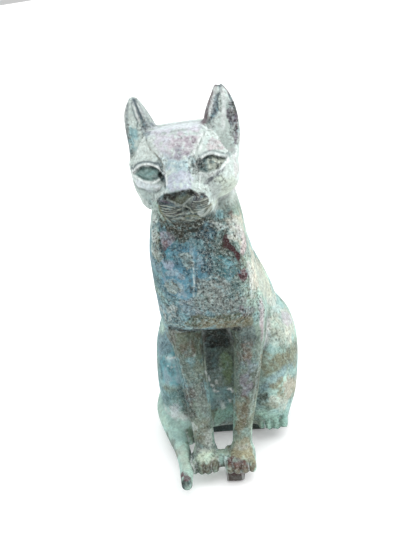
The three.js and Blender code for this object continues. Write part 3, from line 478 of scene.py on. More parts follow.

# Patches of patina, and some of painted shade and painted highlight: colour, strength, softness,
# raggedness, and their outline in pixels of the photograph.
AREAS = (
    # head
    (FROST, 0.75, 3.4, 2.2, ((150, 131), (170, 128), (195, 126), (200, 130), (191, 152), (186, 158),
        (168, 158), (160, 152), (153, 143))),
    (SKY, 0.7, 4.0, 2.4, ((166, 155), (190, 156), (190, 166), (186, 176), (187, 186), (184, 191),
        (168, 191), (164, 186), (167, 175), (164, 164))),
    (ROSE, 0.6, 0.8, 1.6, ((208, 140), (213, 136), (220, 140), (223, 146), (222, 150), (212, 150),
        (208, 147))),
    (ROSE, 0.35, 0.8, 1.6, ((232, 150), (236, 155), (238, 170), (238, 186), (234, 190), (233, 170))),
    (SAGE, 0.75, 0.8, 1.0, ((139, 190), (143, 189.5), (150, 191), (154, 194), (155, 200), (153, 207),
        (142, 197))),
    (ROSE, 0.4, 2.2, 2.4, ((170, 140), (182, 132), (196, 130), (200, 138), (186, 158), (178, 164),
        (170, 158), (166, 150))),
    (PLUM, 0.3, 1.6, 2.8, ((176, 146), (194, 134), (194, 142), (184, 160), (178, 164), (172, 156))),
    # ears
    (PLUM, 0.85, 0.3, 1.6, ((229, 101), (233, 103), (235.5, 110), (236.5, 118), (236, 141), (233.5, 143),
        (232.5, 131), (229, 126), (227, 118))),
    (LAGOON, 0.6, 2.6, 2.8, ((128, 127), (131, 126), (134, 130), (135, 138), (134, 147), (131, 151),
        (129, 146), (127.5, 136))),
    (STEEL, 0.7, 0.4, 1.6, ((142, 118), (146, 121), (149, 127), (149, 134), (146, 140), (143, 134),
        (141, 126))),
    (STEEL, 0.75, 0.4, 1.6, ((213, 98), (216, 96), (218, 104), (217, 113), (214, 121), (209, 123),
        (207, 120), (211, 110))),
    (NIGHT, 0.95, 0.25, 0.3, ((159.3, 174.6), (161.8, 173.6), (163.6, 176), (164.6, 180), (163.2, 181.2))),
    (STONE, 0.5, 0.4, 1.8, ((156, 160), (159, 160), (166, 173), (165, 177), (157, 164))),
    (LILAC, 0.5, 0.8, 3.0, ((170, 168), (184, 170), (189, 182), (184, 191), (172, 191), (167, 180))),
    (ICE, 0.55, 1.0, 1.6, ((153, 126), (170, 122), (190, 120), (203, 121), (203, 127), (186, 130),
        (154, 132))),
    # muzzle, chin and throat
    # dusk over the muzzle and chin; its lower part under the chin is painted shadow
    (DUSK, 0.97, 0.5, 1.5, ((157.5, 199), (161, 196.8), (166, 197), (176, 193), (191, 192), (193, 195.5),
        (197, 193.5), (203, 193.5), (208, 196), (210, 199.5), (210.5, 203), (208, 207), (200, 212),
        (203, 216), (207, 217), (211, 216), (212, 219), (208, 224), (190, 231.5), (178, 232), (167, 230),
        (161, 226), (158, 219), (157.5, 212), (156.5, 205))),
    (SLATE, 0.9, 0.4, 1.3, ((158, 199.5), (161, 197.5), (166, 198), (176, 206), (174, 209), (168, 210),
        (162, 208.5), (159, 205))),
    (FAWN, 0.85, 0.4, 1.3, ((159, 209), (165, 210), (174, 209.5), (178, 213), (174, 216), (168, 216),
        (161, 215))),
    (DAMSON, 0.9, 0.4, 1.3, ((192, 197), (196, 194.5), (202, 194), (207, 196.5), (209, 200), (208, 205),
        (205, 208), (199, 209), (193, 208), (190.5, 203))),
    (KHAKI, 0.7, 0.3, 1.0, ((203, 198.5), (208, 198.5), (210, 202), (209, 206), (204, 208.5), (202, 205))),
    (MOSS, 0.95, 0.25, 0.3, ((167, 197.5), (180, 195), (190.5, 194), (191.5, 196), (183, 204), (180, 205),
        (170, 200))),
    (LIME, 0.45, 0.6, 1.9, ((214, 198.5), (215.5, 203), (207, 216.5), (203, 216.5), (200, 213), (201, 211),
        (206, 211))),
    (MINT, 0.6, 0.5, 1.8, ((153, 203), (156, 201), (158, 206), (157, 213), (159, 221), (156, 221),
        (154, 214))),
    (TAN, 0.85, 0.4, 1.2, ((206, 205), (211, 203.5), (212, 208), (208.5, 213), (204, 217), (198.5, 217.5),
        (196.5, 215), (202, 212))),
    # neck and chest
    (BARK, 0.85, 0.8, 1.6, ((163, 222), (169, 219.5), (182, 222), (192, 224), (193, 232), (190, 240),
        (182, 243), (172, 238), (165, 231))),
    (NAVY, 0.8, 0.8, 1.5, ((191, 226), (203, 226), (213, 228), (217, 234), (215, 243), (205, 245),
        (196, 242), (191, 236))),
    (BLUE, 0.75, 1.0, 1.6, ((163, 246), (172, 243), (196, 250), (206, 256), (208, 268), (204, 277),
        (197, 282), (196, 296), (188, 300), (172, 294), (162, 280), (160, 262))),
    (LAGOON, 0.55, 0.8, 1.6, ((160, 252), (168, 250), (172, 258), (172, 270), (166, 276), (161, 270))),
    (NAVY, 0.8, 0.8, 1.6, ((199, 248), (209, 250), (213, 262), (209, 272), (202, 270), (198, 260))),
    (TEAL, 0.85, 0.8, 1.6, ((213, 252), (224, 256), (232, 266), (231, 276), (222, 276), (214, 268))),
    (LILAC, 0.6, 0.5, 1.6, ((160, 233), (166, 231), (173, 235), (174, 242), (168, 245), (162, 244))),
    (RUST, 0.6, 0.3, 1.0, ((163, 242), (166, 241), (167, 246), (164, 251), (162, 248))),
    (LILAC, 0.5, 0.5, 1.6, ((163, 262), (170, 261), (174, 266), (172, 271), (165, 269))),
    (KHAKI, 0.55, 0.4, 1.4, ((180, 254), (187, 253), (192, 257), (193, 266), (190, 271), (185, 270),
        (182, 263))),
    (KHAKI, 0.65, 0.4, 1.2, ((166, 281), (172, 279), (180, 284), (182, 290), (176, 293), (168, 290),
        (165, 286))),
    (FOG, 0.7, 0.4, 1.0, ((178, 274), (183, 272), (187, 276), (186, 281), (180, 282), (178, 278))),
    (ASH, 0.85, 0.8, 2.0, ((200.4, 281.2), (208, 279.6), (220.4, 281.2), (226.5, 284.2), (231.2, 290.4),
        (237.3, 295), (249.6, 301.2), (246.5, 307.3), (235.8, 313.5), (215.8, 315.8), (197.3, 315),
        (188, 310.4), (194.2, 301.2), (198.8, 290.4))),
    (TEAL, 0.6, 0.5, 1.6, ((231, 283), (241, 284), (244, 292), (240, 297), (232, 292))),
    (FOG, 0.5, 0.6, 1.4, ((180, 304), (190, 301), (200, 308), (203, 316), (192, 318), (183, 314))),
    (CRUST, 0.7, 0.5, 1.8, ((163, 302), (170, 300), (176, 306), (182, 316), (184, 325), (174, 327),
        (165, 320))),
    (FERNY, 0.95, 0.6, 1.5, ((190, 316), (206, 314), (224, 316), (238, 312), (246, 312), (246, 320),
        (236, 324), (214, 326), (186, 325))),
    (PLUM, 0.55, 0.5, 1.5, ((240, 306), (249, 305), (254, 309), (252, 315), (244, 316), (239, 312))),
    (DUSK, 0.6, 2.0, 2.4, ((217, 238), (226, 232), (238, 246), (246, 264), (247, 276), (238, 280),
        (228, 268), (220, 252))),
    (TAN, 0.4, 2.4, 2.4, ((243, 236), (249, 250), (252, 270), (256, 290), (250, 298), (246, 280),
        (240, 246))),
    (OXBLOOD, 1.0, 0.25, 0.6, STREAK),
    (WINE, 0.9, 0.25, 1.2, ((238, 271), (243, 269), (246.5, 273), (247.5, 279), (244.5, 283), (240, 281))),
    (CREAM, 0.8, 0.8, 1.8, ((223, 219), (232, 213), (241, 214), (247, 236), (247, 246), (243, 252),
        (232, 240), (229, 232), (224, 227))),
    (RUST, 0.5, 0.4, 1.5, ((226, 212), (231, 208), (234, 212), (232, 218), (227, 219))),
    (ROSE, 0.6, 0.5, 1.4, ((236, 226), (241, 226), (246, 238), (246, 250), (243, 256), (240, 250),
        (239, 238))),
    (TURQUOISE, 0.8, 0.4, 1.5, ((214, 209), (222, 207), (225, 212), (222, 218), (215, 218))),
    (CREAM, 0.8, 0.6, 1.5, ((249, 246), (253, 250), (256, 266), (257, 284), (255, 298), (251, 296),
        (251, 278), (249, 262))),
    (MINT, 0.7, 0.8, 1.5, ((152, 215), (157, 218), (160, 228), (158, 240), (154, 240), (152, 228))),
    (BARK, 0.85, 0.8, 1.4, ((160, 220), (168, 217), (180, 220), (212, 217), (214, 224), (206, 230),
        (186, 238), (176, 236), (166, 231))),
    (PALE, 0.8, 0.6, 1.5, ((152, 214), (156, 216), (158, 224), (157, 236), (155, 246), (152.5, 240),
        (151.5, 226))),
    (SAND, 0.5, 0.6, 1.6, ((155, 232), (159, 232), (160, 262), (157, 262), (155, 248))),
    (BARK, 0.55, 0.6, 2.4, ((200, 240), (212, 238), (222, 242), (224, 250), (214, 254), (204, 250))),
    (PALE, 0.6, 0.5, 2.5, ((216, 222), (226, 219), (238, 220), (243, 228), (241, 236), (234, 238),
        (226, 232), (218, 230))),
    (PALE, 0.6, 0.4, 2.8, ((163.5, 308), (168, 305), (174, 309), (175, 316), (168, 320), (164.5, 315))),
    (TAN, 0.75, 0.5, 1.4, ((200.4, 321.2), (215.8, 319.6), (231.2, 319.6), (246.5, 316.5), (252.7, 313.5),
        (252.7, 322.7), (231.2, 328.8), (215.8, 327.3), (200.4, 327.3))),
    (CREAM, 0.6, 0.8, 1.6, ((251, 253.5), (258, 259.6), (270, 282.7), (276.3, 298), (271, 307.3),
        (265, 301), (257.3, 288.8), (252.7, 270.4))),
    (PALE, 0.5, 0.5, 2.4, ((268, 301), (276, 300), (281, 308), (280, 316), (272, 318), (267, 310))),
    (BLUE, 0.5, 0.5, 2.4, ((197, 228), (206, 226), (214, 232), (212, 240), (204, 238), (198, 234))),
    (LAGOON, 0.6, 0.5, 2.2, ((222, 258), (232, 256), (238, 262), (238, 270), (230, 276), (222, 270))),
    # forelegs
    (GREEN, 0.55, 0.8, 1.6, ((178, 334), (196, 336), (202, 346), (202, 362), (186, 358), (178, 346))),
    (TURQUOISE, 0.4, 0.5, 1.8, ((182, 357), (194, 356), (200, 361), (198, 366), (184, 364))),
    (ASH, 0.45, 0.8, 1.6, ((190, 384), (206, 380), (210, 396), (212, 414), (200, 414), (194, 400))),
    (PALE, 0.55, 0.5, 1.8, ((202, 424), (213, 418), (216, 436), (215, 446), (208, 446), (203, 436))),
    (SLATE, 0.5, 0.6, 1.5, ((236, 330), (252, 328), (258, 338), (256, 346), (242, 346))),
    (BROWN, 0.5, 0.5, 1.7, ((236, 350), (248, 350), (253, 356), (251, 364), (240, 364))),
    (TURQUOISE, 0.35, 0.5, 1.8, ((240, 364), (256, 358), (258, 366), (252, 372), (242, 370))),
    (LILAC, 0.35, 0.5, 1.8, ((240, 378), (248, 374), (252, 384), (246, 394), (240, 390))),
    (TAN, 0.8, 0.6, 1.5, ((236, 400), (247, 396), (250, 404), (243, 434), (237, 440), (234, 432))),
    # belly
    # painted shade under the chest, between the forelegs
    (BLACK, 0.95, 0.8, 1.2, ((202, 332), (232, 331), (234, 342), (228, 348), (212, 350), (204, 345))),
    (SLATE, 0.45, 0.8, 1.6, ((206, 350), (218, 351), (219, 370), (210, 372), (206, 362))),
    (FERN, 0.8, 0.6, 1.4, ((221, 348), (232, 350), (234, 366), (232, 384), (224, 386), (221, 370))),
    (MIST, 0.6, 0.5, 1.9, ((208, 372), (222, 370), (232, 386), (230, 400), (214, 400), (209, 388))),
    (TURQUOISE, 0.6, 0.6, 1.6, ((209, 386), (232, 388), (234, 402), (232, 410), (212, 408))),
    (PALE, 0.5, 0.4, 1.5, ((219, 400), (226, 399), (228, 408), (222, 410))),
    (JADE, 0.75, 0.6, 1.4, ((214, 412), (236, 410), (236, 425), (214, 427))),
    # haunch on the right
    (CREAM, 0.45, 0.8, 1.8, ((268, 318), (280, 312), (288, 322), (290, 340), (284, 350), (272, 348),
        (266, 334))),
    (LILAC, 0.5, 0.5, 1.5, ((279, 314), (287, 314), (292, 320), (288, 325), (281, 323))),
    (TAN, 0.75, 0.6, 2.0, ((261, 356), (288, 352), (289, 362), (278, 370), (264, 374), (260, 366))),
    (MISTBLUE, 0.55, 0.5, 1.6, ((259, 386), (284, 366), (292, 362), (293, 369), (282, 378), (261, 394))),
    (TAN, 0.8, 0.6, 2.2, ((271, 386), (282, 378), (294, 374), (296, 390), (290, 400), (280, 396))),
    (CREAM, 0.55, 0.6, 1.7, ((270, 394), (280, 397), (289, 402), (287, 410), (276, 412), (268, 404))),
    (BARK, 0.8, 0.3, 1.5, ((259, 395), (266, 393), (269, 397), (266, 402), (260, 402))),
    (JADE, 0.6, 0.6, 1.6, ((258, 412), (266, 408), (276, 412), (288, 408), (290, 420), (286, 430),
        (270, 430), (258, 426))),
    # haunch and hind paw on the left
    (MISTBLUE, 0.6, 0.8, 1.4, ((158, 334), (168, 330), (172, 342), (170, 352), (160, 356))),
    (LAGOON, 0.65, 0.8, 1.5, ((160, 358), (172, 352), (180, 358), (184, 374), (186, 388), (176, 386),
        (164, 382), (160, 370))),
    (MOSS, 0.6, 0.4, 1.6, ((162, 386), (188, 390), (190, 396), (182, 394), (168, 391))),
    (BARK, 0.65, 0.4, 1.6, ((183, 396), (189, 395), (193, 404), (193, 412), (187, 411), (184, 404))),
    (SEAFOAM, 0.75, 0.8, 1.5, ((162, 402), (176, 398), (186, 408), (192, 420), (194, 432), (186, 440),
        (176, 440), (162, 412))),
    (MOSS, 0.7, 0.4, 1.6, ((186, 430), (192, 429), (196, 436), (195, 443), (189, 442))),
    (SEAFOAM, 0.7, 0.6, 1.6, ((164, 424), (178, 452), (184, 468), (190, 478), (184, 480), (178, 470),
        (165, 436))),
    (PLUM, 0.4, 0.3, 1.8, ((169, 436), (173, 440), (181, 460), (177, 458), (172, 448))),
    (TEAL, 0.7, 0.5, 1.5, ((163, 392), (176, 390), (184, 391), (190, 404), (194, 418), (186, 413),
        (168, 407), (163, 400))),
    # painted highlight along the top edge of the cat's right hind paw
    (PALE, 0.65, 0.3, 1.7, ((166, 410), (172, 407), (180, 412), (190, 416), (193, 421), (184, 420))),
    (PALE, 0.3, 0.4, 2.6, ((163, 358), (170, 356), (177, 360), (176, 364), (168, 363))),
    (OLIVE, 0.6, 0.6, 1.6, ((168, 332), (176, 331), (186, 332), (200, 333), (203, 345), (196, 356),
        (184, 360), (172, 342))),
    (RUSTY, 0.45, 0.4, 1.8, ((186, 390), (193, 388), (195, 396), (192, 404), (187, 401))),
    (TURQUOISE, 0.38, 1.4, 2.2, ((184, 356), (194, 354), (198, 362), (192, 370), (186, 366))),
    (BROWN, 0.5, 0.4, 2.0, ((180, 345), (190, 342), (196, 350), (192, 358), (184, 356))),
    (UMBER, 0.5, 0.4, 2.2, ((198, 334), (206, 336), (206, 350), (200, 352))),
    (BROWN, 0.6, 0.4, 2.0, ((242, 344), (252, 342), (254, 354), (248, 362), (242, 356))),
    (UMBER, 0.5, 0.4, 2.2, ((240, 400), (250, 396), (252, 412), (244, 424), (240, 412))),
    (PLUM, 0.4, 0.4, 2.4, ((240, 374), (250, 376), (252, 388), (246, 396), (241, 386))),
    (OLIVE, 0.5, 0.4, 2.2, ((262, 405), (272, 400), (280, 404), (276, 412), (266, 414))),
    (SLATE, 0.4, 0.4, 2.4, ((200, 372), (208, 374), (208, 392), (202, 396))),
    (FOG, 0.5, 0.4, 2.0, ((244, 364), (254, 362), (256, 370), (248, 374))),
    # paws and tail, and more on the haunches
    (LIME, 0.5, 1.2, 2.0, ((200, 448), (214, 448), (219, 456), (216, 463), (204, 464), (198, 457))),
    (SEAFOAM, 0.7, 0.5, 1.2, ((219, 452), (227, 451), (228, 462), (220, 464))),
    (MOSS, 0.7, 0.4, 1.4, ((197, 463), (218, 463), (220, 471), (214, 475), (202, 474), (197, 470))),
    (SAND, 0.8, 0.6, 1.6, ((236, 440), (248, 436), (253, 448), (253, 460), (240, 460), (233, 452))),
    (TAN, 0.45, 0.5, 1.8, ((228, 444), (240, 434), (252, 438), (256, 452), (255, 464), (246, 463),
        (232, 458), (226, 452))),
    (RUSTY, 0.85, 0.4, 1.6, ((228.8, 459.6), (231.9, 458.3), (238, 459.9), (245.8, 463), (245, 466.4),
        (228.8, 463.2))),
    (UMBER, 0.7, 0.4, 1.8, ((229, 464), (246, 467), (254, 463), (256, 460), (254, 470), (246, 474),
        (238, 472), (229, 469))),
    (UMBER, 0.4, 0.4, 2.4, ((196, 464), (206, 462), (214, 463), (219, 466), (217, 472), (208, 474),
        (198, 471))),
    (PALE, 0.35, 0.4, 1.6, ((229, 467), (240, 468), (248, 470), (246, 474), (232, 474))),
    (TAN, 0.75, 0.4, 1.6, ((229.5, 450), (238, 446), (250, 448), (255.5, 456), (255, 466), (238, 458),
        (230, 458))),
    (TAN, 0.7, 0.4, 1.6, ((229, 464), (238, 465), (246, 467), (251, 466), (255, 462), (255, 468),
        (250, 473), (243, 476), (236, 474), (229, 471))),
    (SEAFOAM, 0.6, 0.8, 1.8, ((158, 430), (164, 424), (174, 428), (186, 432), (196, 436), (196, 446),
        (190, 450), (182, 446), (172, 444), (164, 440))),
    (UMBER, 0.5, 0.4, 2.2, ((166, 432), (169, 436), (178, 456), (175, 456), (165, 438))),
    (OLIVE, 0.6, 0.4, 2.0, ((189, 427), (196, 430), (198, 438), (196, 446), (191, 446), (188, 438))),
    (PALE, 0.6, 0.5, 2.0, ((174, 412), (186, 414), (196, 420), (198, 428), (190, 426), (178, 420))),
    (FERNY, 0.3, 0.5, 2.2, ((262, 362), (272, 356), (286, 352), (290, 360), (280, 372), (268, 376))),
    (TEAL, 0.35, 0.4, 2.6, ((264, 330), (276, 336), (286, 340), (288, 350), (266, 342))),
    (CREAM, 0.5, 0.4, 2.0, ((284, 382), (292, 372), (294, 384), (290, 396), (284, 398))),
    (RUSTY, 0.85, 0.4, 1.5, ((227.5, 457.5), (233, 456.5), (240, 458), (247, 461), (248, 466.5),
        (241, 467.5), (233, 466), (228, 464))),
    (UMBER, 0.6, 0.4, 1.3, ((228.5, 466), (241, 469), (248, 468), (254, 464), (255.5, 468), (252, 474),
        (244, 477), (234, 475.5), (228.5, 473))),
    (UMBER, 0.5, 0.4, 1.8, ((196, 465), (204, 463), (212, 464), (219, 467), (217, 473), (208, 475),
        (199, 472))),
    (KHAKI, 0.5, 0.5, 2.0, ((176, 448), (184, 446), (190, 452), (190, 462), (184, 470), (180, 462))),
    (NIGHT, 0.75, 0.3, 1.8, ((178, 482.5), (183, 480.5), (190, 482.5), (192, 487), (186, 489),
        (180, 488.5))),
    (WINE, 0.85, 0.3, 1.4, ((183.5, 475), (188, 474), (190.5, 478), (187.5, 481.5), (184, 480))),
    (BARK, 0.7, 0.4, 1.6, ((183, 408), (190, 404), (196, 410), (197, 418), (190, 420), (185, 416))),
    (ICE, 0.4, 0.3, 2.6, ((176, 404), (182, 410), (178, 416), (172, 413))),
    # lights and shades laid over the rest
    (ICE, 0.4, 1.0, 1.2, ((133, 178), (139, 186), (149, 190), (160, 190), (163, 186), (158, 183),
        (148, 184))),
    (DUSK, 0.55, 1.2, 1.8, ((202, 207), (211, 204), (214, 210), (209, 217), (202, 216))),
    (PALE, 0.45, 1.2, 2.0, ((151, 214), (157, 213), (158, 226), (157, 240), (158, 252), (153, 250),
        (150, 224))),
    (SAGE, 0.5, 1.5, 2.2, ((137, 193), (146, 197), (152, 202), (154, 208), (147, 207), (141, 201))),
    (GREEN, 0.6, 0.6, 1.2, ((186, 430), (189, 427), (192, 429), (192, 434), (190, 441), (187, 440))),
)


def seen(x, y, z):
    """How far across and how far up places are in the photograph's view."""
    return [x * axis[0] + y * axis[1] + z * axis[2] for axis in (ACROSS, UPWARD)]


def from_mark(x, y, z, places):
    """Distance from a line as seen in the photograph."""
    return from_line(*seen(x, y, z), list(zip(*seen(*places.T))))


def within_area(x, y, z, places):
    """Depth inside a traced outline as seen in the photograph, negative outside."""
    u, v = seen(x, y, z)
    line = list(zip(*seen(*places.T)))
    inside = np.zeros(np.shape(u), bool)
    for (au, av), (bu, bv) in zip(line, line[1:] + line[:1]):
        if av != bv:
            inside ^= ((av > v) != (bv > v)) & (u < au + (v - av) * (bu - au) / (bv - av))
    return np.where(inside, 1, -1) * from_line(u, v, line + line[:1])


def mark_box(places, half):
    """The corners of the box that a mark can reach."""
    room = np.array([2.5 * half + 0.5, 2.5, 2.5 * half + 0.5])
    return np.min(places, axis=0) - room, np.max(places, axis=0) + room


def carve_marks(c):
    """Raises or sinks the marks that have a height, the narrow ones less."""
    for height, half, _, _, places in LINES:
        if height:
            tall = height * smooth((half - 0.12) / 0.35)
            c.raise_by(
                lambda x, y, z, h=tall, w=half, line=places: h * bump(from_mark(x, y, z, line) / w),
                *mark_box(places, half),
            )


# The figure's main forms.

# Each paw: middle in x and y, width, length, height, and how softly it joins the leg.
FORE_PAWS = ((-7.2, -25.8, 4.7, 7.3, 5.8, 2.0), (6.0, -26.4, 5.0, 7.5, 5.8, 2.0))
HIND_PAWS = ((-16.0, -4.5, 5.4, 10.5, 8.0, 3), (16.7, 1.6, 5.5, 10.0, 8.0, 3))
TOE_SPACING = 0.52           # in widths of the paw


def torso(c):
    c.add(loft([
        (-1, -17.5, 18.6, -2.0, 33), (6, -21.0, 21.0, -2.7, 37.5), (16, -22.5, 23.3, -3.0, 39.5),
        (28, -22.5, 24.0, -3.0, 38.5), (40, -21.2, 23.2, -4.5, 34.5), (52, -19.3, 22.0, -9, 29),
        (64, -18.0, 19.0, -14, 23), (76, -16.0, 15.8, -17, 17), (88, -14.4, 15.2, -17, 12),
        (99, -12.4, 13.6, -13, 9),
    ], 2.3, 5))
    for x, z, tilt, knee, blend in ((-12.9, 21.2, 5, -15.0, 5), (15.0, 22.0, -7, 14.2, 3)):
        c.add(ball((x, 13, z), (13.4, 21.5, 25.0), pitch=-12, roll=tilt, flat=2.2), blend)
        c.add(ball((knee, 5, 15), (10.2, 11, 16), flat=2.3), 5)
    c.cut(limb([(0, -9, 20), (0, -4.0, 36), (0, -8, 46)], [6.5, 4.5, 3.5], (1.3, 1, 1)), 4)


def forelegs(c):
    c.add(ball((-10.9, -8, 56), (6.3, 10.5, 17), pitch=6, flat=2.3), 4)
    c.add(ball((13.4, -8.5, 53), (6.8, 10.8, 17), pitch=6, flat=2.3), 4)
    right = [(-9.3, -11.5, 55), (-8.2, -15.4, 40), (-7.6, -18.6, 27), (-7.1, -21.4, 14), (-7.1, -23, 6)]
    left = [(14.2, -12, 53), (12.7, -15.6, 40), (10.4, -18.8, 27), (7.6, -21.6, 14), (6.4, -23.2, 6)]
    c.add(limb(right, [6.0, 5.1, 4.6, 3.7, 3.6], (1, 1.12, 1)), 2.0)
    c.add(limb(left, [6.1, 5.1, 4.4, 3.5, 3.5], (1, 1.12, 1)), 2.0)
    for shape in FORE_PAWS:
        paw(c, *shape)


def chest(c):
    c.add(loft([
        (51.8, -14.6, 15.4, -22.6, 6), (55, -15.8, 17.2, -24.4, 8), (62, -16.5, 18.2, -25.2, 8),
        (72, -16.7, 18.3, -24.5, 8), (80, -16.5, 16.9, -22.8, 7), (88, -15.2, 16.1, -20, 6),
        (98, -12.8, 14.2, -14, 5),
    ], 2.9, 1.2), 1.2)


def paw(c, x, y, wide, long, high, blend):
    c.add(ball((x, y + 0.6, high * 0.42), (wide, long * 0.8, high * 0.78), flat=2.6), blend)
    for k in (-1.5, -0.5, 0.5, 1.5):
        toe = (x + k * wide * TOE_SPACING, y - long * 0.60 + abs(k) * 0.7, high * 0.34)
        c.add(ball(toe, (wide * 0.28, long * 0.33, high * 0.52)), 0.6)


def feet_and_tail(c):
    for shape in HIND_PAWS:
        paw(c, *shape)
    c.add(ball((-0.9, -25.6, 2.6), (4.2, 2.4, 3.1), flat=3.5), 1.0)
    c.add(smooth_limb([
        (5, 32, 9, 4.2), (-4, 35.5, 7.2, 4.9), (-13.5, 35.0, 5.9, 5.2), (-21.6, 29, 5.4, 5.0),
        (-25.2, 19, 5.4, 4.8), (-25.6, 8.5, 5.2, 4.5), (-23.5, -1, 4.9, 4.0), (-20.2, -10, 4.5, 3.6),
        (-16.9, -19, 3.7, 3.0), (-14.7, -26, 3.1, 2.6), (-13.2, -33.5, 2.6, 2.35), (-12.5, -39.3, 2.3, 1.9),
    ], (1, 1, 1.05)), 1.2)


def head(c):
    c.add(loft([
        (94.0, -8.2, 7.5, -20.5, 4), (97, -11.8, 10.8, -21.6, 6.5), (101, -14.9, 14.4, -22.0, 8.4),
        (105.5, -17.8, 17.1, -21.8, 9.2), (111, -18.6, 18.1, -21, 9), (115.5, -17.3, 17.2, -18.8, 7.2),
        (120.0, -14.0, 14.0, -15.2, 2.5),
    ], 2.35, 2.6), 2.5)
    c.add(ball((0, -19, 100.8), (9.4, 10.4, 5.4), flat=2.3), 2.5)
    bridge = [(-0.3, -14.0, 113.0), (-0.3, -19.4, 108), (-0.2, -25.6, 103.0)]
    c.add(limb(bridge, [6.6, 5.0, 4.1], (1, 0.8, 1)), 2.0)
    for side in (RIGHT, LEFT):
        c.add(ball((side * 4.3 - 0.3, -25.4, 99.4), (4.9, 4.2, 3.3)), 0.8)
        c.add(ball((side * 10.4 + 0.6, -12.5, 103.6), (7.0, 9.0, 6.6)), 3)
    c.add(ball((-9.3, -14.6, 98.8), (5.7, 6.3, 3.8)), 2)
    c.add(ball((0.3, -18.8, 96.6), (9.0, 8.6, 4.2), flat=2.3), 2.0)
    c.add(ball((0.5, -22.4, 95.6), (4.6, 4.8, 3.0)), 1.2)
    c.add(ball((0.3, -16.6, 91.2), (8.4, 5.2, 5.0)), 4.0)
    c.add(ball((-0.3, -27.2, 102.4), (4.2, 2.7, 2.0), flat=2.6), 0.8)


EAR_ROOT = 108.5


def ears(c):
    """Each ear as a shell with a cup hollowed out of its front, rising in shares of the ear's height."""
    for side, base, middle, shift, tip in ((RIGHT, 12.7, 5.2, 0.0, 129.2), (LEFT, 11.4, 5.5, 0.1, 129.7)):
        def at(out, y, share, radius):
            return side * out, y, EAR_ROOT + share * (tip - EAR_ROOT), radius

        shell = [
            at(base, -3.5, 0, 5.9), at(12.9, -4.0, 0.315, middle + 0.7),
            at(13.6 + shift, -4.7, 0.58, middle), at(14.2 + shift, -4.9, 0.815, 3.8),
            at(14.2 + shift, -4.8, 1, 1.8),
        ]
        cup = [
            at(14.4, -11.2, 0.22, 4.1), at(14.6, -10.2, 0.46, 4.2), at(14.4, -9.1, 0.7, 3.4),
            at(14.2, -7.8, 0.925, 1.5),
        ]
        c.add(smooth_limb(shell, (1, 0.7, 1)), 1.2)
        c.cut(smooth_limb(cup, (1, 0.85, 1)), 0.8)


# Valleys on the ears, each a depth, a half width and places in x and z.
EAR_LINES = (
    (-1.3, 1.5, ((-17.0, 112.5), (-17.3, 115), (-17.0, 119), (-16.2, 123), (-15.2, 126.5))),
    (-0.9, 1.2, ((8.9, 117.5), (9.9, 120.5), (11.6, 124.2), (12.7, 127.5))),
    (-0.6, 1.0, ((16.8, 113.5), (16.9, 117), (16.6, 121), (16.0, 125))),
)


def ear_relief(x, y, z):
    h = 0.0 * (x + y + z)
    for depth, half, line in EAR_LINES:
        h = h + depth * bump(from_line(x, z, line) / half)
    return h * smooth((-3.5 - y) / 2.5)


# Relief on the face, drawn in the plane of x and z.


def band_half_width(z):
    """Half the width of the raised band that runs from the crown down to the nose."""
    return smooth_steps(z, [
        (103.5, 4.0), (107, 3.5), (110, 4.0), (112.5, 5.3), (115, 6.7), (117, 8.1), (119, 9.7), (122, 12),
    ])[0]


# Each eye as curves of x and z: the eyeball's upper and lower edges, and the groove below the pouch.
RIGHT_EYE = (
    ((-15.6, 108.4), (-13.1, 110.2), (-10.6, 110.8), (-8.4, 110.4), (-6.9, 109.5), (-5.8, 107.9)),
    ((-15.6, 108.4), (-13.5, 107.8), (-11.8, 107.1), (-9.8, 106.7), (-7.9, 106.9), (-5.8, 107.9)),
    ((-17.0, 106.4), (-15.3, 104.6), (-12.7, 104.0), (-9.2, 103.2), (-5.6, 104.2)),
)
LEFT_EYE = (
    ((6.0, 109.4), (6.8, 110.3), (7.7, 110.9), (8.8, 111.4), (9.9, 111.6), (11.1, 111.3), (12.2, 110.7),
     (13.2, 110.1), (14.4, 109.5)),
    ((6.0, 109.4), (6.3, 108.3), (7.0, 107.7), (8.0, 107.3), (9.3, 107.2), (10.5, 107.4), (11.8, 107.7),
     (12.8, 108.2), (13.6, 108.8), (14.4, 109.5)),
    ((7.3, 103.8), (8.5, 104.0), (9.9, 104.9), (11.3, 105.7), (12.6, 106.4), (13.6, 107.1), (14.3, 108.0)),
)
EYES = (RIGHT_EYE, LEFT_EYE)
DUCTS = (((-6.0, 107.9), (-5.2, 106.7), (-4.5, 104.9)), ((5.6, 108.9), (4.9, 108.3), (4.4, 107.4)))
NOSE_EDGES = (((-4.5, 102.7), (-0.3, 99.2)), ((-0.1, 99.2), (3.9, 103.0)), ((4.2, 103.6), (-4.7, 103.2)))


def above(x, z, curve):
    """How far a place is above a curve of x and z."""
    here, nudge = smooth_steps(x, curve)[0], 0.05
    slope = (smooth_steps(x + nudge, curve)[0] - smooth_steps(x - nudge, curve)[0]) / (2 * nudge)
    return (z - here) / np.sqrt(1 + slope * slope)


def eye_parts(x, z, upper, lower, pouch):
    """Depth within the eyeball, height above its upper edge, its upper half, the pouch's rise and reach."""
    over, under, rise = above(x, z, upper), -above(x, z, lower), above(x, z, pouch)
    start, end = upper[0][0], upper[-1][0]
    eye = soft_min(soft_min(-over, -under, 1.0) + 0.25, np.minimum(x - start + 0.3, end - x + 0.1), 0.4)
    high = smooth((over - under) / 1.2 + 0.5)
    bag = smooth((x - pouch[0][0]) / 1.5) * smooth((pouch[-1][0] - x) / 1.5) * (1 - high)
    return eye, over, high, rise, bag


def nose_leather(x, z):
    """Depth within the triangle under the slit of the nose."""
    depth = None
    for (ax, az), (bx, bz) in NOSE_EDGES:
        side = ((x - ax) * (az - bz) + (z - az) * (bx - ax)) / math.hypot(bx - ax, bz - az)
        depth = side if depth is None else np.minimum(depth, side)
    return depth


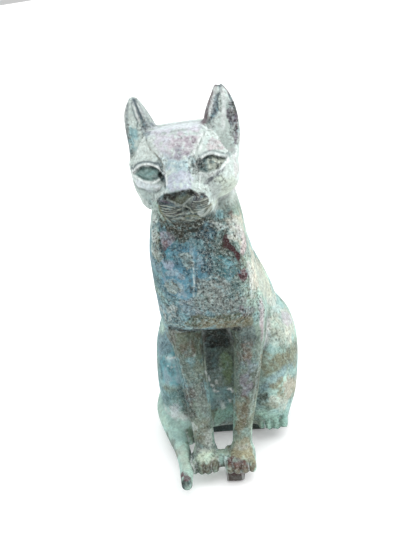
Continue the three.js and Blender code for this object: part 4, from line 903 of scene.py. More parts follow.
def face_relief(x, y, z):
    h = 0.55 * smooth((band_half_width(z) - abs(x - FACE_MIDDLE)) / 0.9 + 0.5) * smooth((z - 102.8) / 1.0)
    for curves in EYES:
        eye, over, high, rise, bag = eye_parts(x, z, *curves)
        h = h - 0.85 * smooth(eye / 0.6 + 0.4) + 1.0 * smooth(eye / 1.8)
        h = h - 0.3 * high * bump((eye - 0.25) / 0.4)
        h = h + high * (0.38 * bump((eye + 0.5) / 0.42) - 0.22 * bump((eye + 1.15) / 0.35))
        h = h + (1 - high) * 0.12 * bump((eye + 0.4) / 0.4)
        h = h + bag * (0.45 * smooth(rise / 1.2) - 0.3 * bump((rise + 0.1) / 0.5))
    for duct in DUCTS:
        h = h - 0.6 * bump(from_line(x, z, duct) / 0.5)
    h = h - 0.5 * smooth(nose_leather(x, z) / 0.5)
    return h * smooth((-8 - y) / 5)


def nicks(x, y, z):
    """Nicks along the forehead band."""
    edge = band_half_width(z) - abs(x - FACE_MIDDLE)
    cuts = 0.55 + 0.45 * np.sin(z * 5.1) * np.sin(z * 1.9 + 1.0)
    return -0.2 * cuts * bump((edge + 0.4) / 0.3) * smooth((z - 104) / 2) * smooth((-12 - y) / 4)


def claws(c):
    """Grooves between the toes of each paw, from the top forwards and down."""
    for x, y, wide, long, high, _ in FORE_PAWS + HIND_PAWS:
        for k in (-1, 0, 1):
            groove = [
                (x + k * wide * TOE_SPACING, y - long * forward, high * up)
                for forward, up in ((0.72, 0.6), (0.84, 0.4), (0.93, 0.1))
            ]
            c.cut(limb(groove, [0.2, 0.42, 0.5]), 0.4)


def tangs(c):
    for x, front, wide, long in (FRONT_TANG, REAR_TANG):
        middle = (x, front + long / 2, (TANG_ROOT - TANG_DEPTH) / 2)
        c.add(slab(middle, (wide / 2, long / 2, (TANG_ROOT + TANG_DEPTH) / 2), 0.35))


def model(c, fine):
    torso(c)
    forelegs(c)
    chest(c)
    feet_and_tail(c)
    head(c)
    ears(c)
    c.raise_by(ear_relief, (-22, -14, 110), (22, -3, 134))
    c.raise_by(face_relief, (-20, -34, 92), (20, -8, 124))
    if fine:
        c.raise_by(nicks, (-20, -34, 102), (20, -10, 124))
        claws(c)
        carve_marks(c)
    c.flatten_below(0.0)
    tangs(c)
    return c.field


# From distances to a skin of quads, finer where the carving is finer.


def skin(grid):
    """A corner in each cell that the surface crosses, and a quad across each edge that it crosses."""
    f = grid.field
    inside = f < 0
    n = np.array(f.shape) - 1
    total = np.zeros(n, np.float32)
    place = [np.zeros(n, np.float32) for _ in range(3)]
    for axis in range(3):
        others = [a for a in range(3) if a != axis]
        for ends in itertools.product((0, 1), repeat=2):
            lo, hi = [slice(None)] * 3, [slice(None)] * 3
            lo[axis], hi[axis] = slice(0, n[axis]), slice(1, n[axis] + 1)
            for a, o in zip(others, ends):
                lo[a] = hi[a] = slice(o, n[a] + o)
            u, v = f[tuple(lo)], f[tuple(hi)]
            crossed = (u < 0) != (v < 0)
            total += crossed
            place[axis] += np.where(crossed, u / np.where(crossed, u - v, 1), 0)
            for a, o in zip(others, ends):
                if o:
                    place[a] += crossed
    used = total > 0
    index = np.full(n, -1, np.int64)
    index[used] = np.arange(used.sum())
    verts = np.stack([place[a][used] / total[used] for a in range(3)], 1) + np.argwhere(used)
    verts = verts * grid.cell + np.array([a[0] for a in grid.axes])
    quads = []
    for axis in range(3):
        b, c = (axis + 1) % 3, (axis + 2) % 3
        lo, hi = [slice(1, -1)] * 3, [slice(1, -1)] * 3
        lo[axis], hi[axis] = slice(0, n[axis]), slice(1, n[axis] + 1)
        u, v = inside[tuple(lo)], inside[tuple(hi)]
        for flip, where in ((False, u & ~v), (True, ~u & v)):
            at = np.argwhere(where)
            at[:, [a for a in range(3) if a != axis]] += 1
            corner = []
            for db, dc in ((0, 0), (1, 0), (1, 1), (0, 1)):
                k = at.copy()
                k[:, b] -= db
                k[:, c] -= dc
                corner.append(index[k[:, 0], k[:, 1], k[:, 2]])
            q = np.stack(corner, 1)
            quads.append(q[:, ::-1] if flip else q)
    return verts.astype(float), np.concatenate(quads)


def refined(verts, quads, others, pick):
    """Splits the quads that pick chooses into four, and gives their neighbours the new corners."""
    chosen = pick(verts[quads].mean(1))
    sides = np.stack([quads, np.roll(quads, -1, axis=1)], 2)
    low, high = sides.min(2), sides.max(2)
    key = low * len(verts) + high
    split = np.unique(key[chosen])
    ends = np.stack([split // len(verts), split % len(verts)], 1)
    middles = verts[ends].mean(1)
    centres = verts[quads[chosen]].mean(1)
    slot = np.clip(np.searchsorted(split, key), 0, len(split) - 1)
    mid = np.where(split[slot] == key, slot + len(verts), -1)
    centre = np.arange(len(centres)) + len(verts) + len(middles)
    q, m = quads[chosen], mid[chosen]
    small = [np.stack([q[:, i], m[:, i], centre, m[:, i - 1]], 1) for i in range(4)]
    touched = ~chosen & (mid >= 0).any(1)
    for corners, marks in zip(quads[touched], mid[touched]):
        others.append([int(v) for pair in zip(corners, marks) for v in pair if v >= 0])
    kept = quads[~chosen & ~touched]
    return np.vstack([verts, middles, centres]), np.vstack([kept, *small]), others


# Where the skin is split once, twice and three times.


def seen_or_carved(p):
    x, y, z = p.T
    front_tang = (z < 0.8) & (z > -4.5) & (y < -25)
    left_side = (z > 50) & (x > 8) & (y < 16) | (x > 21) & (y < 14)
    return (y < 4) & (z > 0.8) | front_tang | left_side


def in_front(p):
    x, y, z = p.T
    face = (z > 93) & (z < 133) & (y < -5.5) & (abs(x) < 19.5) | (z > 112) & (y < -3.5)
    chest = (z > 50) & (z <= 93) & (y < -17)
    legs = (z > -6) & (z <= 50) & (y < -15) & (x > -13.5) & (x < 18)
    return face | chest | legs


def in_eyes_or_muzzle(p):
    x, y, z = p.T
    eyes = (z > 102.5) & (z < 113.8) & (abs(x) > 3.4) & (abs(x) < 16.8) & (y < -15)
    return eyes | (z > 95) & (z <= 104.8) & (abs(x) < 9.2) & (y < -22)


def distances(places, fine=True):
    return model(Points(places), fine)


def on_bronze(pixels):
    """Where lines of sight through pixels of the photograph meet the bronze, or pass closest to it."""
    focus = VIEW_LENS / SENSOR_WIDTH * PHOTO_HIGH
    x, y = np.array(pixels, float).T[:, :, None]
    sight = -TOWARDS * focus + ACROSS * (x - PHOTO_WIDE / 2) - UPWARD * (y - PHOTO_HIGH / 2)
    sight /= np.linalg.norm(sight, axis=1, keepdims=True)
    far = np.arange(VIEW_DISTANCE - SIGHT_REACH, VIEW_DISTANCE + SIGHT_REACH, SIGHT_STEP)
    places = VIEW_TARGET + VIEW_DISTANCE * TOWARDS + far[None, :, None] * sight[:, None, :]
    depth = distances(places.reshape(-1, 3), False).reshape(places.shape[:2])
    row = np.arange(len(places))
    met = (depth < 0).any(1)
    step = np.where(met, (depth < 0).argmax(1), depth.argmin(1))
    before, after = depth[row, step - 1], depth[row, step]
    share = np.where(met, before / np.where(before == after, 1, before - after), 1)[:, None]
    return places[row, step - 1] * (1 - share) + places[row, step] * share


def traced(rows):
    """The rows with the pixels at the end of each turned into places on the bronze."""
    ends = np.cumsum([len(row[-1]) for row in rows])
    places = np.split(on_bronze(np.vstack([row[-1] for row in rows])), ends[:-1])
    return [(*row[:-1], found) for row, found in zip(rows, places)]


LINES, OUTLINES = traced(MARKS), traced(AREAS)
STREAK_OUTLINE = on_bronze(STREAK)

# The four directions in which the slope of the distances is taken.
TETRA = np.array([(1, 1, 1), (1, -1, -1), (-1, 1, -1), (-1, -1, 1)], float)


def slopes(places, step=0.12):
    """The direction straight out of the bronze at each place."""
    out = sum(t * distances(places + t * step)[:, None] for t in TETRA)
    return out / np.maximum(np.linalg.norm(out, axis=1, keepdims=True), 1e-9)


def evened(verts, pairs):
    """Each corner moved towards the middle of its neighbours."""
    count = np.bincount(pairs[:, 0], minlength=len(verts))[:, None]
    total = np.stack([
        np.bincount(pairs[:, 0], weights=verts[pairs[:, 1], axis], minlength=len(verts)) for axis in range(3)
    ], 1)
    return verts + 0.5 * (total / np.maximum(count, 1) - verts)


def settled(verts, quads, others, rounds=4):
    """Spreads the corners evenly and moves them onto the finely carved surface."""
    sides = [np.stack([quads, np.roll(quads, -1, axis=1)], 2).reshape(-1, 2)]
    sides.append(np.array([(a, b) for face in others for a, b in zip(face, face[1:] + face[:1])]))
    pairs = np.unique(np.sort(np.vstack(sides), axis=1), axis=0)
    pairs = np.vstack([pairs, pairs[:, ::-1]])
    for _ in range(rounds):
        verts = evened(verts, pairs)
        verts = verts - slopes(verts) * np.clip(distances(verts), -0.5, 0.5)[:, None]
    return verts - slopes(verts) * np.clip(distances(verts), -0.2, 0.2)[:, None]


# Repeatable noise at places, from 0 to 1.


def chance(cells, seed):
    i, j, k = cells.astype(np.int64).T
    n = (i * 374761393 + j * 668265263 + k * 1442695041 + seed * 1274126177) & 0xFFFFFFFF
    n = ((n ^ (n >> 13)) * 1274126177) & 0xFFFFFFFF
    return ((n ^ (n >> 16)) & 0xFFFFFF) / 0xFFFFFF


def mottle(places, size, seed, octaves=3):
    total, weight = 0.0, 0.0
    for o in range(octaves):
        q = places / (size / 2**o) + 17.3 * o
        base = np.floor(q)
        t = q - base
        t = t * t * (3 - 2 * t)
        value = 0.0
        for corner in itertools.product((0, 1), repeat=3):
            share = np.prod(np.where(corner, t, 1 - t), axis=1)
            value = value + share * chance(base + corner, seed * 31 + o)
        total = total + value * 0.5**o
        weight += 0.5**o
    return total / weight


# Patina with painted shade and painted highlight, painted over the whole skin from broad to fine.

# Round patches: place, half width, half height, turn in degrees, colour, strength.
PATCHES = (
    ((-9.9, -16.5, 116.1), 4.5, 4, 0, PALE, 0.6), ((14.5, -17.5, 100.6), 5, 5, 20, LIME, 0.45),
    ((16.8, -18.5, 71.6), 1.6, 5, 10, MINT, 0.7), ((-12.6, -18.1, 49.1), 1.4, 2.6, 0, PLUM, 0.8),
    ((-6.5, -25.5, 14.1), 4, 6, 0, SAND, 0.3), ((19.1, -16.6, 52.6), 1.2, 9, -4, ROSE, 0.7),
    ((-20.3, -1.5, 35.6), 6, 9, 0, TURQUOISE, 0.4), ((21.0, 5.6, 59.0), 4, 9, 15, LIME, 0.5),
    ((23.8, 0.3, 34.6), 3.6, 5, 0, MINT, 0.5), ((-20.6, -18.0, 4.3), 1.4, 6, 25, UMBER, 0.4),
    ((-12.7, -37.9, 4.5), 1.2, 1.4, 0, WINE, 0.85), ((-12.2, -40.9, 3.3), 2.4, 2.0, 0, NIGHT, 0.75),
    ((4.7, -32.5, 0.4), 3.4, 1.6, 0, STEEL, 0.6), ((26.5, 4.0, 26.0), 4, 5, 0, TAN, 0.6),
    ((25.0, 2.0, 15.0), 4, 4, 0, CREAM, 0.5), ((27.0, 8.0, 38.0), 4, 7, 0, CREAM, 0.5),
)
# How much further in front and behind a traced patch reaches than a line.
DEEPER = np.array([(0, -2, 0), (0, 2, 0)], float)


def mixed(colour, other, share):
    share = share[:, None]
    return colour * (1 - share) + other * share


def darker(colour, share):
    return colour * (1 - share)[:, None]


def areas_painted(colour, p, ragged, specks):
    """The traced patches, with ragged edges and worn through in specks."""
    for paint, amount, soft, rough, places in OUTLINES:
        low, high = mark_box(places, 2.0) + DEEPER
        near = in_box(p, low, high)
        depth = within_area(*p[near].T, places) + (ragged[near] * 2.4 + (specks[near] - 0.5) * 0.8) * rough
        worn = np.clip(1 + 2.5 * max(rough - 0.8, 0) * (specks[near] - 0.5), 0, 1)
        colour[near] = mixed(colour[near], paint, smooth(depth / soft + 0.5) * amount * worn)
    return colour


def lines_painted(colour, p, ragged, specks):
    """The painted lines, broken where the patina is uneven."""
    for _, half, paint, amount, places in LINES:
        low, high = mark_box(places, half)
        near = in_box(p, low, high)
        distance = from_mark(*p[near].T, places) / half
        share = smooth(1.5 - distance + ragged[near] * min(half, 1.0) * 3.0)
        worn = np.clip(1.05 + 2.6 * (specks[near] - 0.5), amount**2, 1)
        colour[near] = mixed(colour[near], paint, share * amount * worn)
    return colour


def eyes_painted(colour, p):
    """The eyeballs with painted shadow under the upper lids, the lids' edges pale as painted highlight, and
    the pouches under the eyes.
    """
    x, y, z = p.T
    near = smooth((-9 - y) / 3) * smooth((z - 97) / 2)
    speckle = mottle(p, 1.1, 9, 2)
    for side, curves in zip((RIGHT, LEFT), EYES):
        eye, over, high, rise, bag = eye_parts(x, z, *curves)
        near_eye = near * np.where(side * (x - FACE_MIDDLE) > 2.5, 1, 0)
        ball, low = near_eye * smooth(eye / 0.3 + 0.2), 1 - high
        if side == RIGHT:
            iris = mixed(np.tile(IRIS, (len(p), 1)), DAMSON, smooth((x + 9.5) / 1.5) * low * 0.4)
            groove, reach, fold, rim = STONE, 0.4, 0.8, 0.35
            share = 0.2 + 0.45 * smooth((-9.5 - x) / 3)
        else:
            iris = mixed(np.tile(TEAL * 0.7, (len(p), 1)), KHAKI, smooth((x - 8.4) / 1.4))
            iris = mixed(iris, NIGHT, smooth((speckle - 0.56) / 0.08) * 0.7)
            groove, reach, fold, rim = DAMSON, 0.9, 0.5, 0.75
            share = 0.2 + 0.8 * smooth((speckle - 0.45) / 0.1)
        iris = mixed(iris, PALE, smooth((0.46 - speckle) / 0.1) * 0.15)
        iris = mixed(iris, NIGHT, smooth((speckle - 0.55) / 0.1) * 0.4)
        colour = mixed(colour, iris, ball * 0.92)
        # painted shadow of the upper lid over the eyeball, and a dark line of painted shade just under the
        # lid's edge
        colour = mixed(colour, NIGHT, ball * high * smooth((1.3 + over) / 1.2) * 0.55)
        colour = mixed(colour, NIGHT, near_eye * high * bump((eye - 0.1) / 0.36) * 0.85)
        # the upper lid's edge pale, painted highlight
        colour = mixed(colour, WHITE, near_eye * high * bump((eye + 0.5) / 0.38) * 0.9)
        crest = bump((eye + 1.15) / 0.34) * smooth(over / 0.4)
        colour = mixed(colour, SLATE, near_eye * high * crest * fold)
        # the lower lid's edge pale, painted highlight
        colour = mixed(colour, WHITE, near_eye * low * bump((eye + rim) / (0.8 * rim)) * 0.65)
        colour = mixed(colour, STONE, near_eye * low * bump((eye + rim + 0.5) / 0.22) * 0.12)
        colour = mixed(colour, groove, near_eye * bag * bump((rise + 0.1) / reach) * share * 0.8)
    return colour


def calm(p):
    """Where the eyes and the muzzle have paint of their own, from 0 to 1."""
    x, y, z = p.T
    muzzle = smooth((-13 - y) / 2) * smooth(103.2 - z) * smooth((9.5 - abs(x)) / 1.5) * smooth((z - 86) / 2)
    inside = 0.0
    for curves in EYES:
        eye = eye_parts(x, z, *curves)[0]
        inside = np.maximum(inside, smooth((eye + 2.2) / 0.6) * smooth((-9 - y) / 3))
    return np.maximum(muzzle, inside)


def ground(p):
    """The broad colours of the head, the trunk, the legs, the belly and the tail."""
    x, y, z = p.T
    broad, blotch = mottle(p, 16, 1), mottle(p, 6, 2)
    colour = np.tile(MINT, (len(p), 1))
    colour = mixed(colour, TURQUOISE, smooth((broad - 0.42) / 0.2) * (0.75 - 0.35 * smooth(x / 8)))
    colour = mixed(colour, OLIVE, smooth((mottle(p, 9, 4) - 0.55) / 0.12) * 0.5)
    colour = mixed(colour, SLATE, smooth((mottle(p, 7, 5) - 0.60) / 0.10) * 0.5)
    behind = smooth(y / 4)
    upper = smooth((z - 90 + 4 * behind) / (6 + 8 * behind))
    colour = mixed(colour, PALE, upper * (0.75 + 0.25 * blotch))
    trunk = smooth((95 - z) / 4) * smooth((z - 50) / 4) * smooth((-10 - y) / 6)
    colour = mixed(colour, BLUE, trunk * smooth((blotch - 0.3) / 0.3) * 0.55 * smooth((10 - x) / 6))
    colour = mixed(colour, DUSTY, trunk * smooth((x - 3) / 4) * smooth((16 - x) / 3) * 0.7)
    legs = smooth((54 - z) / 4) * smooth((-9 - y) / 4) * smooth((z - 8) / 6)
    colour = mixed(colour, OLIVE, legs * 0.55)
    belly = smooth((52 - z) / 4) * smooth((4 - y) / 6) * smooth((15 - abs(x)) / 3) * smooth((y + 9) / 3)
    colour = mixed(colour, FERNY, belly * 0.7)
    tail = smooth((11 - z) / 3) * smooth((-x - 8) / 4) * smooth((-x - 10) / 2)
    return mixed(colour, MINT, tail * 0.8)


def patches_painted(colour, p, ragged):
    for place, wide, high, angle, paint, amount in PATCHES:
        share = smooth((1.15 - seen_ellipse(p, place, wide, high, angle) + ragged * 1.5) / 0.5)
        colour = mixed(colour, paint, share * amount)
    return colour


def facing_front(p, out):
    """How much a place faces forwards, between the paws and the muzzle and away from the outer sides, for
    the painted shade down the front.
    """
    x, _, z = p.T
    front = smooth((-out[:, 1] - 0.15) / 0.6) * smooth((z - 6) / 6) * (1 - 0.8 * smooth((z - 101) / 3))
    return front * np.where(z < 52, smooth((19 - abs(x)) / 4), smooth((x + 15.5) / 3))


# Painted shade in the hollows: near black below the head and less at the nape, stone grey on the head.
def hollows_shaded(colour, p, hollow, head):
    nape = smooth((p[:, 1] + 4) / 8) * smooth((p[:, 2] - 80) / 6)
    colour = mixed(colour, DARK, hollow * 0.75 * (1 - head) * (1 - 0.7 * nape))
    return mixed(colour, STONE, hollow * 0.5 * head)


def tangs_painted(colour, p):
    """The underside and the rear tang black, painted shade under the body, and the front tang a red brown.
    """
    _, y, z = p.T
    colour = mixed(colour, BLACK, smooth((0.6 - z) / 0.8) * smooth((y + 12) / 4) * 0.9)
    return mixed(colour, OXBLOOD, smooth((-0.4 - z) / 0.8) * smooth((-20 - y) / 3) * 0.86)


def shaded(colour, p, front, head):
    """Painted shade down the front and under the chin on the throat, darker on the muzzle and the thighs,
    and lighter and darker in broad blotches.
    """
    x, y, z = p.T
    thigh = smooth((50 - z) / 3) * smooth((z - 22) / 6) * smooth((-9 - y) / 3)
    throat = smooth((z - 84) / 3) * smooth((95 - z) / 2) * smooth((-15 - y) / 3) * smooth((9 - abs(x)) / 2)
    muzzle = smooth((-21 - y) / 2) * smooth(103.2 - z) * smooth(8.5 - abs(x)) * smooth((z - 93) / 2)
    colour = darker(colour, 0.22 * front + 0.3 * muzzle + 0.32 * throat + 0.2 * thigh)
    deep = smooth((mottle(p, 7, 12, 2) - 0.5) / 0.2) - smooth((0.5 - mottle(p, 5, 13, 2)) / 0.2)
    return darker(colour, -0.14 * deep * (1 - head))


def blue_broken(colour, p, head):
    """Navy and fog grains where the patina below the head is blue."""
    blue = smooth((colour[:, 2] - colour[:, 0] - 0.1) / 0.1) * (1 - head)
    uneven = mottle(p, 2.6, 14)
    colour = mixed(colour, NAVY, blue * smooth((uneven - 0.52) / 0.1) * 0.5)
    return mixed(colour, FOG, blue * smooth((0.48 - uneven) / 0.1) * 0.55)


def creases_shaded_ridges_lit(colour, p, ridge, edge, crease, head):
    """Painted shade in the creases and painted highlight on the ridges and edges, fewer where the eyes and
    the muzzle have paint of their own.
    """
    _, y, z = p.T
    own_paint = calm(p)
    colour = mixed(colour, NIGHT, crease * 0.5 * (1 - 0.8 * own_paint))
    chest_edge = smooth((z - 50) / 2) * smooth((60 - z) / 3) * smooth((-14 - y) / 3)
    pale = np.clip((0.45 - 0.25 * head) * ridge + 0.45 * edge, 0, 1)
    return mixed(colour, WHITE, pale * 0.6 * (1 - own_paint) * (1 - 0.8 * chest_edge))


# The vertex colour: patina, with painted shade in hollows, creases, under the body and down the front, and
# painted highlight on ridges and lids.
def patina_and_painted_light(p, out, hollow, ridge, crease, edge):
    head = smooth((p[:, 2] - 93) / 3)
    ragged, specks = mottle(p, 3.0, 7, 2) - 0.5, mottle(p, 1.2, 8, 2)
    colour = patches_painted(ground(p), p, ragged)
    front = facing_front(p, out)
    # painted shade on what faces forwards, below the head
    colour = darker(colour, 0.2 * front * (1 - head))
    # painted shade in the hollows
    colour = hollows_shaded(colour, p, hollow, head)
    colour = areas_painted(colour, p, ragged, specks)
    # painted shade under the body: the underside and the rear tang black
    colour = tangs_painted(colour, p)
    colour = shaded(colour, p, front, head)
    colour = blue_broken(colour, p, head)
    colour = eyes_painted(colour, p)
    # painted shade in the creases and painted highlight on the ridges
    colour = creases_shaded_ridges_lit(colour, p, ridge, edge, crease, head)
    colour = lines_painted(colour, p, ragged, specks)
    grain = mottle(p, 3, 3, 2)
    return np.clip(darker(colour, (0.2 * head - 0.36) * (grain - 0.5)), 0, 1)


# Speckled places on the head: place, half width, half height, turn in degrees, strength.
SPECKLED = (
    ((3.2, -19.9, 115.3), 4.5, 6.5, 0, 0.5), ((2.2, -22.1, 112.1), 3.0, 3.5, 20, 0.6),
    ((5.2, -21.0, 109.8), 3.6, 3.4, 0, 0.9), ((10.0, -19.5, 109.0), 4.5, 3.0, 0, 0.6),
    ((11.3, -20.5, 104.5), 4.5, 2.2, 35, 0.7), ((18.0, -6.4, 119.0), 2.4, 9.0, -8, 1.0),
    ((12.0, -6.3, 123.0), 2.2, 6.0, 15, 0.9), ((-12.0, -7.0, 120.0), 2.4, 5.5, -20, 0.8),
    ((-18.0, -5.5, 117.0), 2.0, 8.0, 0, 0.9), ((11.3, -16.6, 115.4), 3.5, 3.0, 10, 0.5),
    ((-5.0, -22.0, 110.5), 1.6, 4.0, 0, 0.7), ((0.0, -28.0, 96.0), 9.0, 5.0, 0, 0.45),
    ((7.0, -26.0, 101.5), 4.0, 2.5, 0, 0.8), ((-6.5, -27.0, 102.0), 2.5, 2.0, 0, 0.6),
    ((-9.5, -18.0, 97.0), 3.5, 5.0, 0, 0.9),
)


def seen_ellipse(p, place, wide, high, angle):
    """Distance from the middle of an ellipse as seen in the photograph, 1 at its edge."""
    d = p - place
    u, v, w = d @ ACROSS, d @ UPWARD, d @ TOWARDS
    c, s = math.cos(math.radians(angle)), math.sin(math.radians(angle))
    return np.sqrt(((c * u - s * v) / wide) ** 2 + ((s * u + c * v) / high) ** 2 + (w / 8) ** 2)


def granular(p, colour):
    """How crusted the skin is, from 0 to 1: less where the patina is blue."""
    x, y, z = p.T
    trunk = smooth((94 - z) / 4) * smooth((z - 52) / 4) * smooth((-12 - y) / 5)
    crust = np.clip(0.55 + 0.4 * trunk + 0.5 * (mottle(p, 8, 11) - 0.5), 0, 1)
    crust = crust * (1 - 0.4 * smooth((z - 93) / 3))
    crust = crust * (1 - 0.55 * smooth((14 - z) / 4) * smooth((-x - 11) / 3))
    crust = crust * (1 - 0.7 * smooth((0.8 - z) / 0.8))
    crust = crust * (1 - 0.65 * smooth((colour[:, 2] - colour[:, 0] - 0.08) / 0.12) * smooth((92 - z) / 4))
    for place, wide, high, angle, amount in SPECKLED:
        crust = np.maximum(crust, amount * smooth((1.2 - seen_ellipse(p, place, wide, high, angle)) / 0.5))
    streak = smooth(within_area(x, y, z, STREAK_OUTLINE) / 0.3 + 0.8) * smooth((z - 60) / 4)
    return crust * (1 - 0.75 * streak)


def curvature(verts, out):
    """From 0 to 1: hollows and ridges of the main forms, creases and edges of the fine carving."""

    def depth(step, fine):
        return distances(verts + out * step, fine) / step

    hollow = 0.9 * smooth((0.93 - depth(0.9, False)) / 0.35) + 0.5 * smooth((0.85 - depth(3.0, False)) / 0.6)
    ridge = smooth((0.95 - depth(-0.9, False)) / 0.4)
    crease = smooth((0.9 - depth(0.4, True)) / 0.5)
    edge = smooth((0.9 - depth(-0.4, True)) / 0.5)
    return np.clip(hollow, 0, 1), ridge, crease, edge


def crusted(verts, out, crust):
    """The corners moved out and in by pits, crust and a soft swell, less on the head."""
    pits = (mottle(verts, 2.8, 21, 2) - 0.5) * np.where(seen_or_carved(verts), 1, 0.4)
    swell = mottle(verts, 5.0, 22, 2) - 0.5
    rise = (0.30 * crust * pits + 0.22 * swell) * (1 - 0.65 * smooth((verts[:, 2] - 94) / 3))
    verts = verts + out * rise[:, None]
    verts[:, 2] = np.maximum(verts[:, 2], -TANG_DEPTH)
    return verts


def cat_mesh():
    grid = Grid(LOW, HIGH, CELL)
    model(grid, False)
    verts, quads = skin(grid)
    others = []
    for pick in (seen_or_carved, in_front, in_eyes_or_muzzle):
        verts, quads, others = refined(verts, quads, others, pick)
    verts = settled(verts, quads, others)
    out = slopes(verts)
    hollow, ridge, crease, edge = curvature(verts, out)
    colour = patina_and_painted_light(verts, out, hollow, ridge, crease, edge)
    crust = granular(verts, colour)
    verts = crusted(verts, out, crust)
    mesh = bpy.data.meshes.new("cat_bronze")
    faces = quads.tolist() + others
    mesh.from_pydata(((verts + SHIFT) * MM).tolist(), [], faces)
    mesh.update()
    mesh.shade_smooth()
    # the patina colour with its painted shade and painted highlight
    tint = mesh.color_attributes.new("patina_and_painted_light", "FLOAT_COLOR", "POINT")
    tint.data.foreach_set("color", np.hstack([colour, np.ones((len(verts), 1))]).astype(np.float32).ravel())
    grains = mesh.attributes.new("crust", "FLOAT", "POINT")
    grains.data.foreach_set("value", crust.astype(np.float32))
    return mesh


# Material.


def bronze():
    """The painted patina with its painted shade and painted highlight, broken up by grain, flecks, spots and
    veins where the skin is crusted.
    """
    material = bpy.data.materials.new("patinated_bronze")
    material.use_nodes = True
    nodes, links = material.node_tree.nodes, material.node_tree.links
    shader = nodes["Principled BSDF"]

    def add(kind, **values):
        node = nodes.new(kind)
        for key, value in values.items():
            if key in node.inputs:
                node.inputs[key].default_value = value
            else:
                setattr(node, key, value)
        return node

    def link(source, target):
        links.new(source, target)

    place = add("ShaderNodeTexCoord").outputs["Object"]
    scaled = add("ShaderNodeMapping")
    scaled.inputs["Scale"].default_value = [1 / MM] * 3
    link(place, scaled.inputs["Vector"])
    tint = add("ShaderNodeAttribute", attribute_name="patina_and_painted_light").outputs["Color"]
    crust = add("ShaderNodeAttribute", attribute_name="crust").outputs["Fac"]

    def noise(scale, detail=2.0, rough=0.6):
        node = add("ShaderNodeTexNoise", Scale=scale, Detail=detail, Roughness=rough)
        link(scaled.outputs["Vector"], node.inputs["Vector"])
        return node.outputs["Fac"]

    def ramp(source, low, high, start=0.0, end=1.0):
        node = add("ShaderNodeMapRange")
        node.clamp = True
        link(source, node.inputs["Value"])
        for name, value in (("From Min", low), ("From Max", high), ("To Min", start), ("To Max", end)):
            node.inputs[name].default_value = value
        return node.outputs["Result"]

    def maths(kind, a, b):
        node = add("ShaderNodeMath", operation=kind)
        for socket, value in zip(node.inputs, (a, b)):
            if hasattr(value, "is_output"):
                link(value, socket)
            else:
                socket.default_value = value
        return node.outputs["Value"]

    def mix(share, first, second, kind="MIX"):
        node = add("ShaderNodeMix", data_type="RGBA", blend_type=kind)
        link(share, node.inputs[0])
        for socket, value in ((node.inputs[6], first), (node.inputs[7], second)):
            if hasattr(value, "is_output"):
                link(value, socket)
            else:
                socket.default_value = (*value, 1)
        return node.outputs[2]

    def veins(scale, width):
        away = maths("ABSOLUTE", maths("SUBTRACT", noise(scale, 3), 0.5), 0.0)
        return maths("MULTIPLY", ramp(away, 0.0, width, 1, 0), crust)

    grain, fleck, spots, cast = noise(0.9, 3), noise(1.25, 3), noise(0.7, 3), noise(0.45, 2)
    colour = mix(maths("MULTIPLY", ramp(cast, 0.52, 0.68, 0, 0.35), crust), tint, TURQUOISE)
    colour = mix(maths("MULTIPLY", ramp(spots, 0.56, 0.66, 0, 0.5), crust), colour, UMBER)
    pits = maths("MULTIPLY", ramp(fleck, 0.47, 0.36, 0, 0.85), crust)
    worn = maths("MAXIMUM", pits, maths("MULTIPLY", veins(0.62, 0.03), 0.6))
    contrast = maths("ADD", maths("MULTIPLY", crust, 0.8), 0.2)
    swing = maths("MULTIPLY", ramp(grain, 0.3, 0.7, -0.45, 0.45), contrast)
    lit = add("ShaderNodeVectorMath", operation="SCALE")
    link(colour, lit.inputs[0])
    link(maths("MULTIPLY", maths("ADD", swing, 1.0), maths("SUBTRACT", 1.0, worn)), lit.inputs["Scale"])
    colour = mix(maths("MULTIPLY", ramp(fleck, 0.57, 0.66, 0, 0.38), crust), lit.outputs["Vector"], PALE)
    colour = mix(maths("MULTIPLY", veins(0.5, 0.02), 0.35), colour, PALE)
    link(colour, shader.inputs["Base Color"])
    link(ramp(grain, 0.3, 0.7, 0.95, 0.7), shader.inputs["Roughness"])
    shader.inputs["Specular IOR Level"].default_value = 0.35
    height = maths("ADD", grain, maths("MULTIPLY", fleck, 0.6))
    bumps = add("ShaderNodeBump", Distance=0.0003)
    link(height, bumps.inputs["Height"])
    link(ramp(crust, 0, 1, 0.35, 0.9), bumps.inputs["Strength"])
    link(bumps.outputs["Normal"], shader.inputs["Normal"])
    return material


cat = bpy.data.objects.new("cat_bronze", cat_mesh())
bpy.context.scene.collection.objects.link(cat)
cat.data.materials.append(bronze())
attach(cat, "root")
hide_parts("cat_figure")


# Floor, light and camera.


FLOOR_REACH = 12.0           # metres from the cat to each edge of the floor


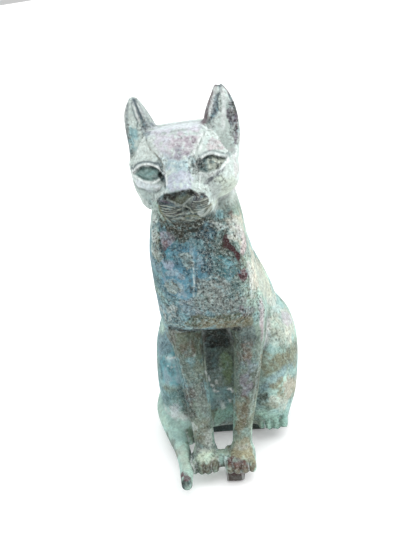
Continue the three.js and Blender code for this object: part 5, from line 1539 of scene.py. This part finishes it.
def floor():
    mesh = bpy.data.meshes.new("floor")
    corners = [(x * FLOOR_REACH, y * FLOOR_REACH, 0) for x, y in ((-1, -1), (1, -1), (1, 1), (-1, 1))]
    mesh.from_pydata(corners, [], [(0, 1, 2, 3)])
    thing = bpy.data.objects.new("floor", mesh)
    bpy.context.scene.collection.objects.link(thing)
    paper = bpy.data.materials.new("paper")
    paper.use_nodes = True
    shader = paper.node_tree.nodes["Principled BSDF"]
    shader.inputs["Base Color"].default_value = (0.9, 0.9, 0.91, 1)
    shader.inputs["Roughness"].default_value = 0.9
    shader.inputs["Emission Color"].default_value = (1, 1, 1, 1)
    shader.inputs["Emission Strength"].default_value = 0.22
    mesh.materials.append(paper)


# Each lamp: name, the direction it shines from, strength, and its width in degrees.
LAMPS = (
    ("top", (0.3, -0.2, 1.0), 2.2, 60),
    ("right", (1.0, 0.35, 0.5), 0.8, 50),
    ("left", (-1.0, 0.3, 0.4), 0.5, 50),
)


def lights():
    world = bpy.data.worlds.new("studio")
    world.use_nodes = True
    background = world.node_tree.nodes["Background"]
    background.inputs["Color"].default_value = (1, 1, 1, 1)
    background.inputs["Strength"].default_value = 0.6
    bpy.context.scene.world = world
    for name, place, strength, angle in LAMPS:
        lamp = bpy.data.lights.new(name, "SUN")
        lamp.energy = strength
        lamp.angle = math.radians(angle)
        thing = bpy.data.objects.new(name, lamp)
        thing.matrix_world = Vector(place).to_track_quat("Z", "Y").to_matrix().to_4x4()
        bpy.context.scene.collection.objects.link(thing)


def camera():
    target = VIEW_TARGET + SHIFT
    place = (target + VIEW_DISTANCE * TOWARDS) * MM
    lens = bpy.data.cameras.new("camera")
    lens.lens = VIEW_LENS
    lens.sensor_width = SENSOR_WIDTH
    lens.sensor_fit = "AUTO"
    lens.clip_start = 0.01
    thing = bpy.data.objects.new("camera", lens)
    rows = [[ACROSS[i], UPWARD[i], TOWARDS[i], place[i]] for i in range(3)]
    thing.matrix_world = Matrix(rows + [[0, 0, 0, 1]])
    bpy.context.scene.collection.objects.link(thing)
    bpy.context.scene.camera = thing


floor()
lights()
camera()
bpy.context.scene.view_settings.view_transform = "Standard"
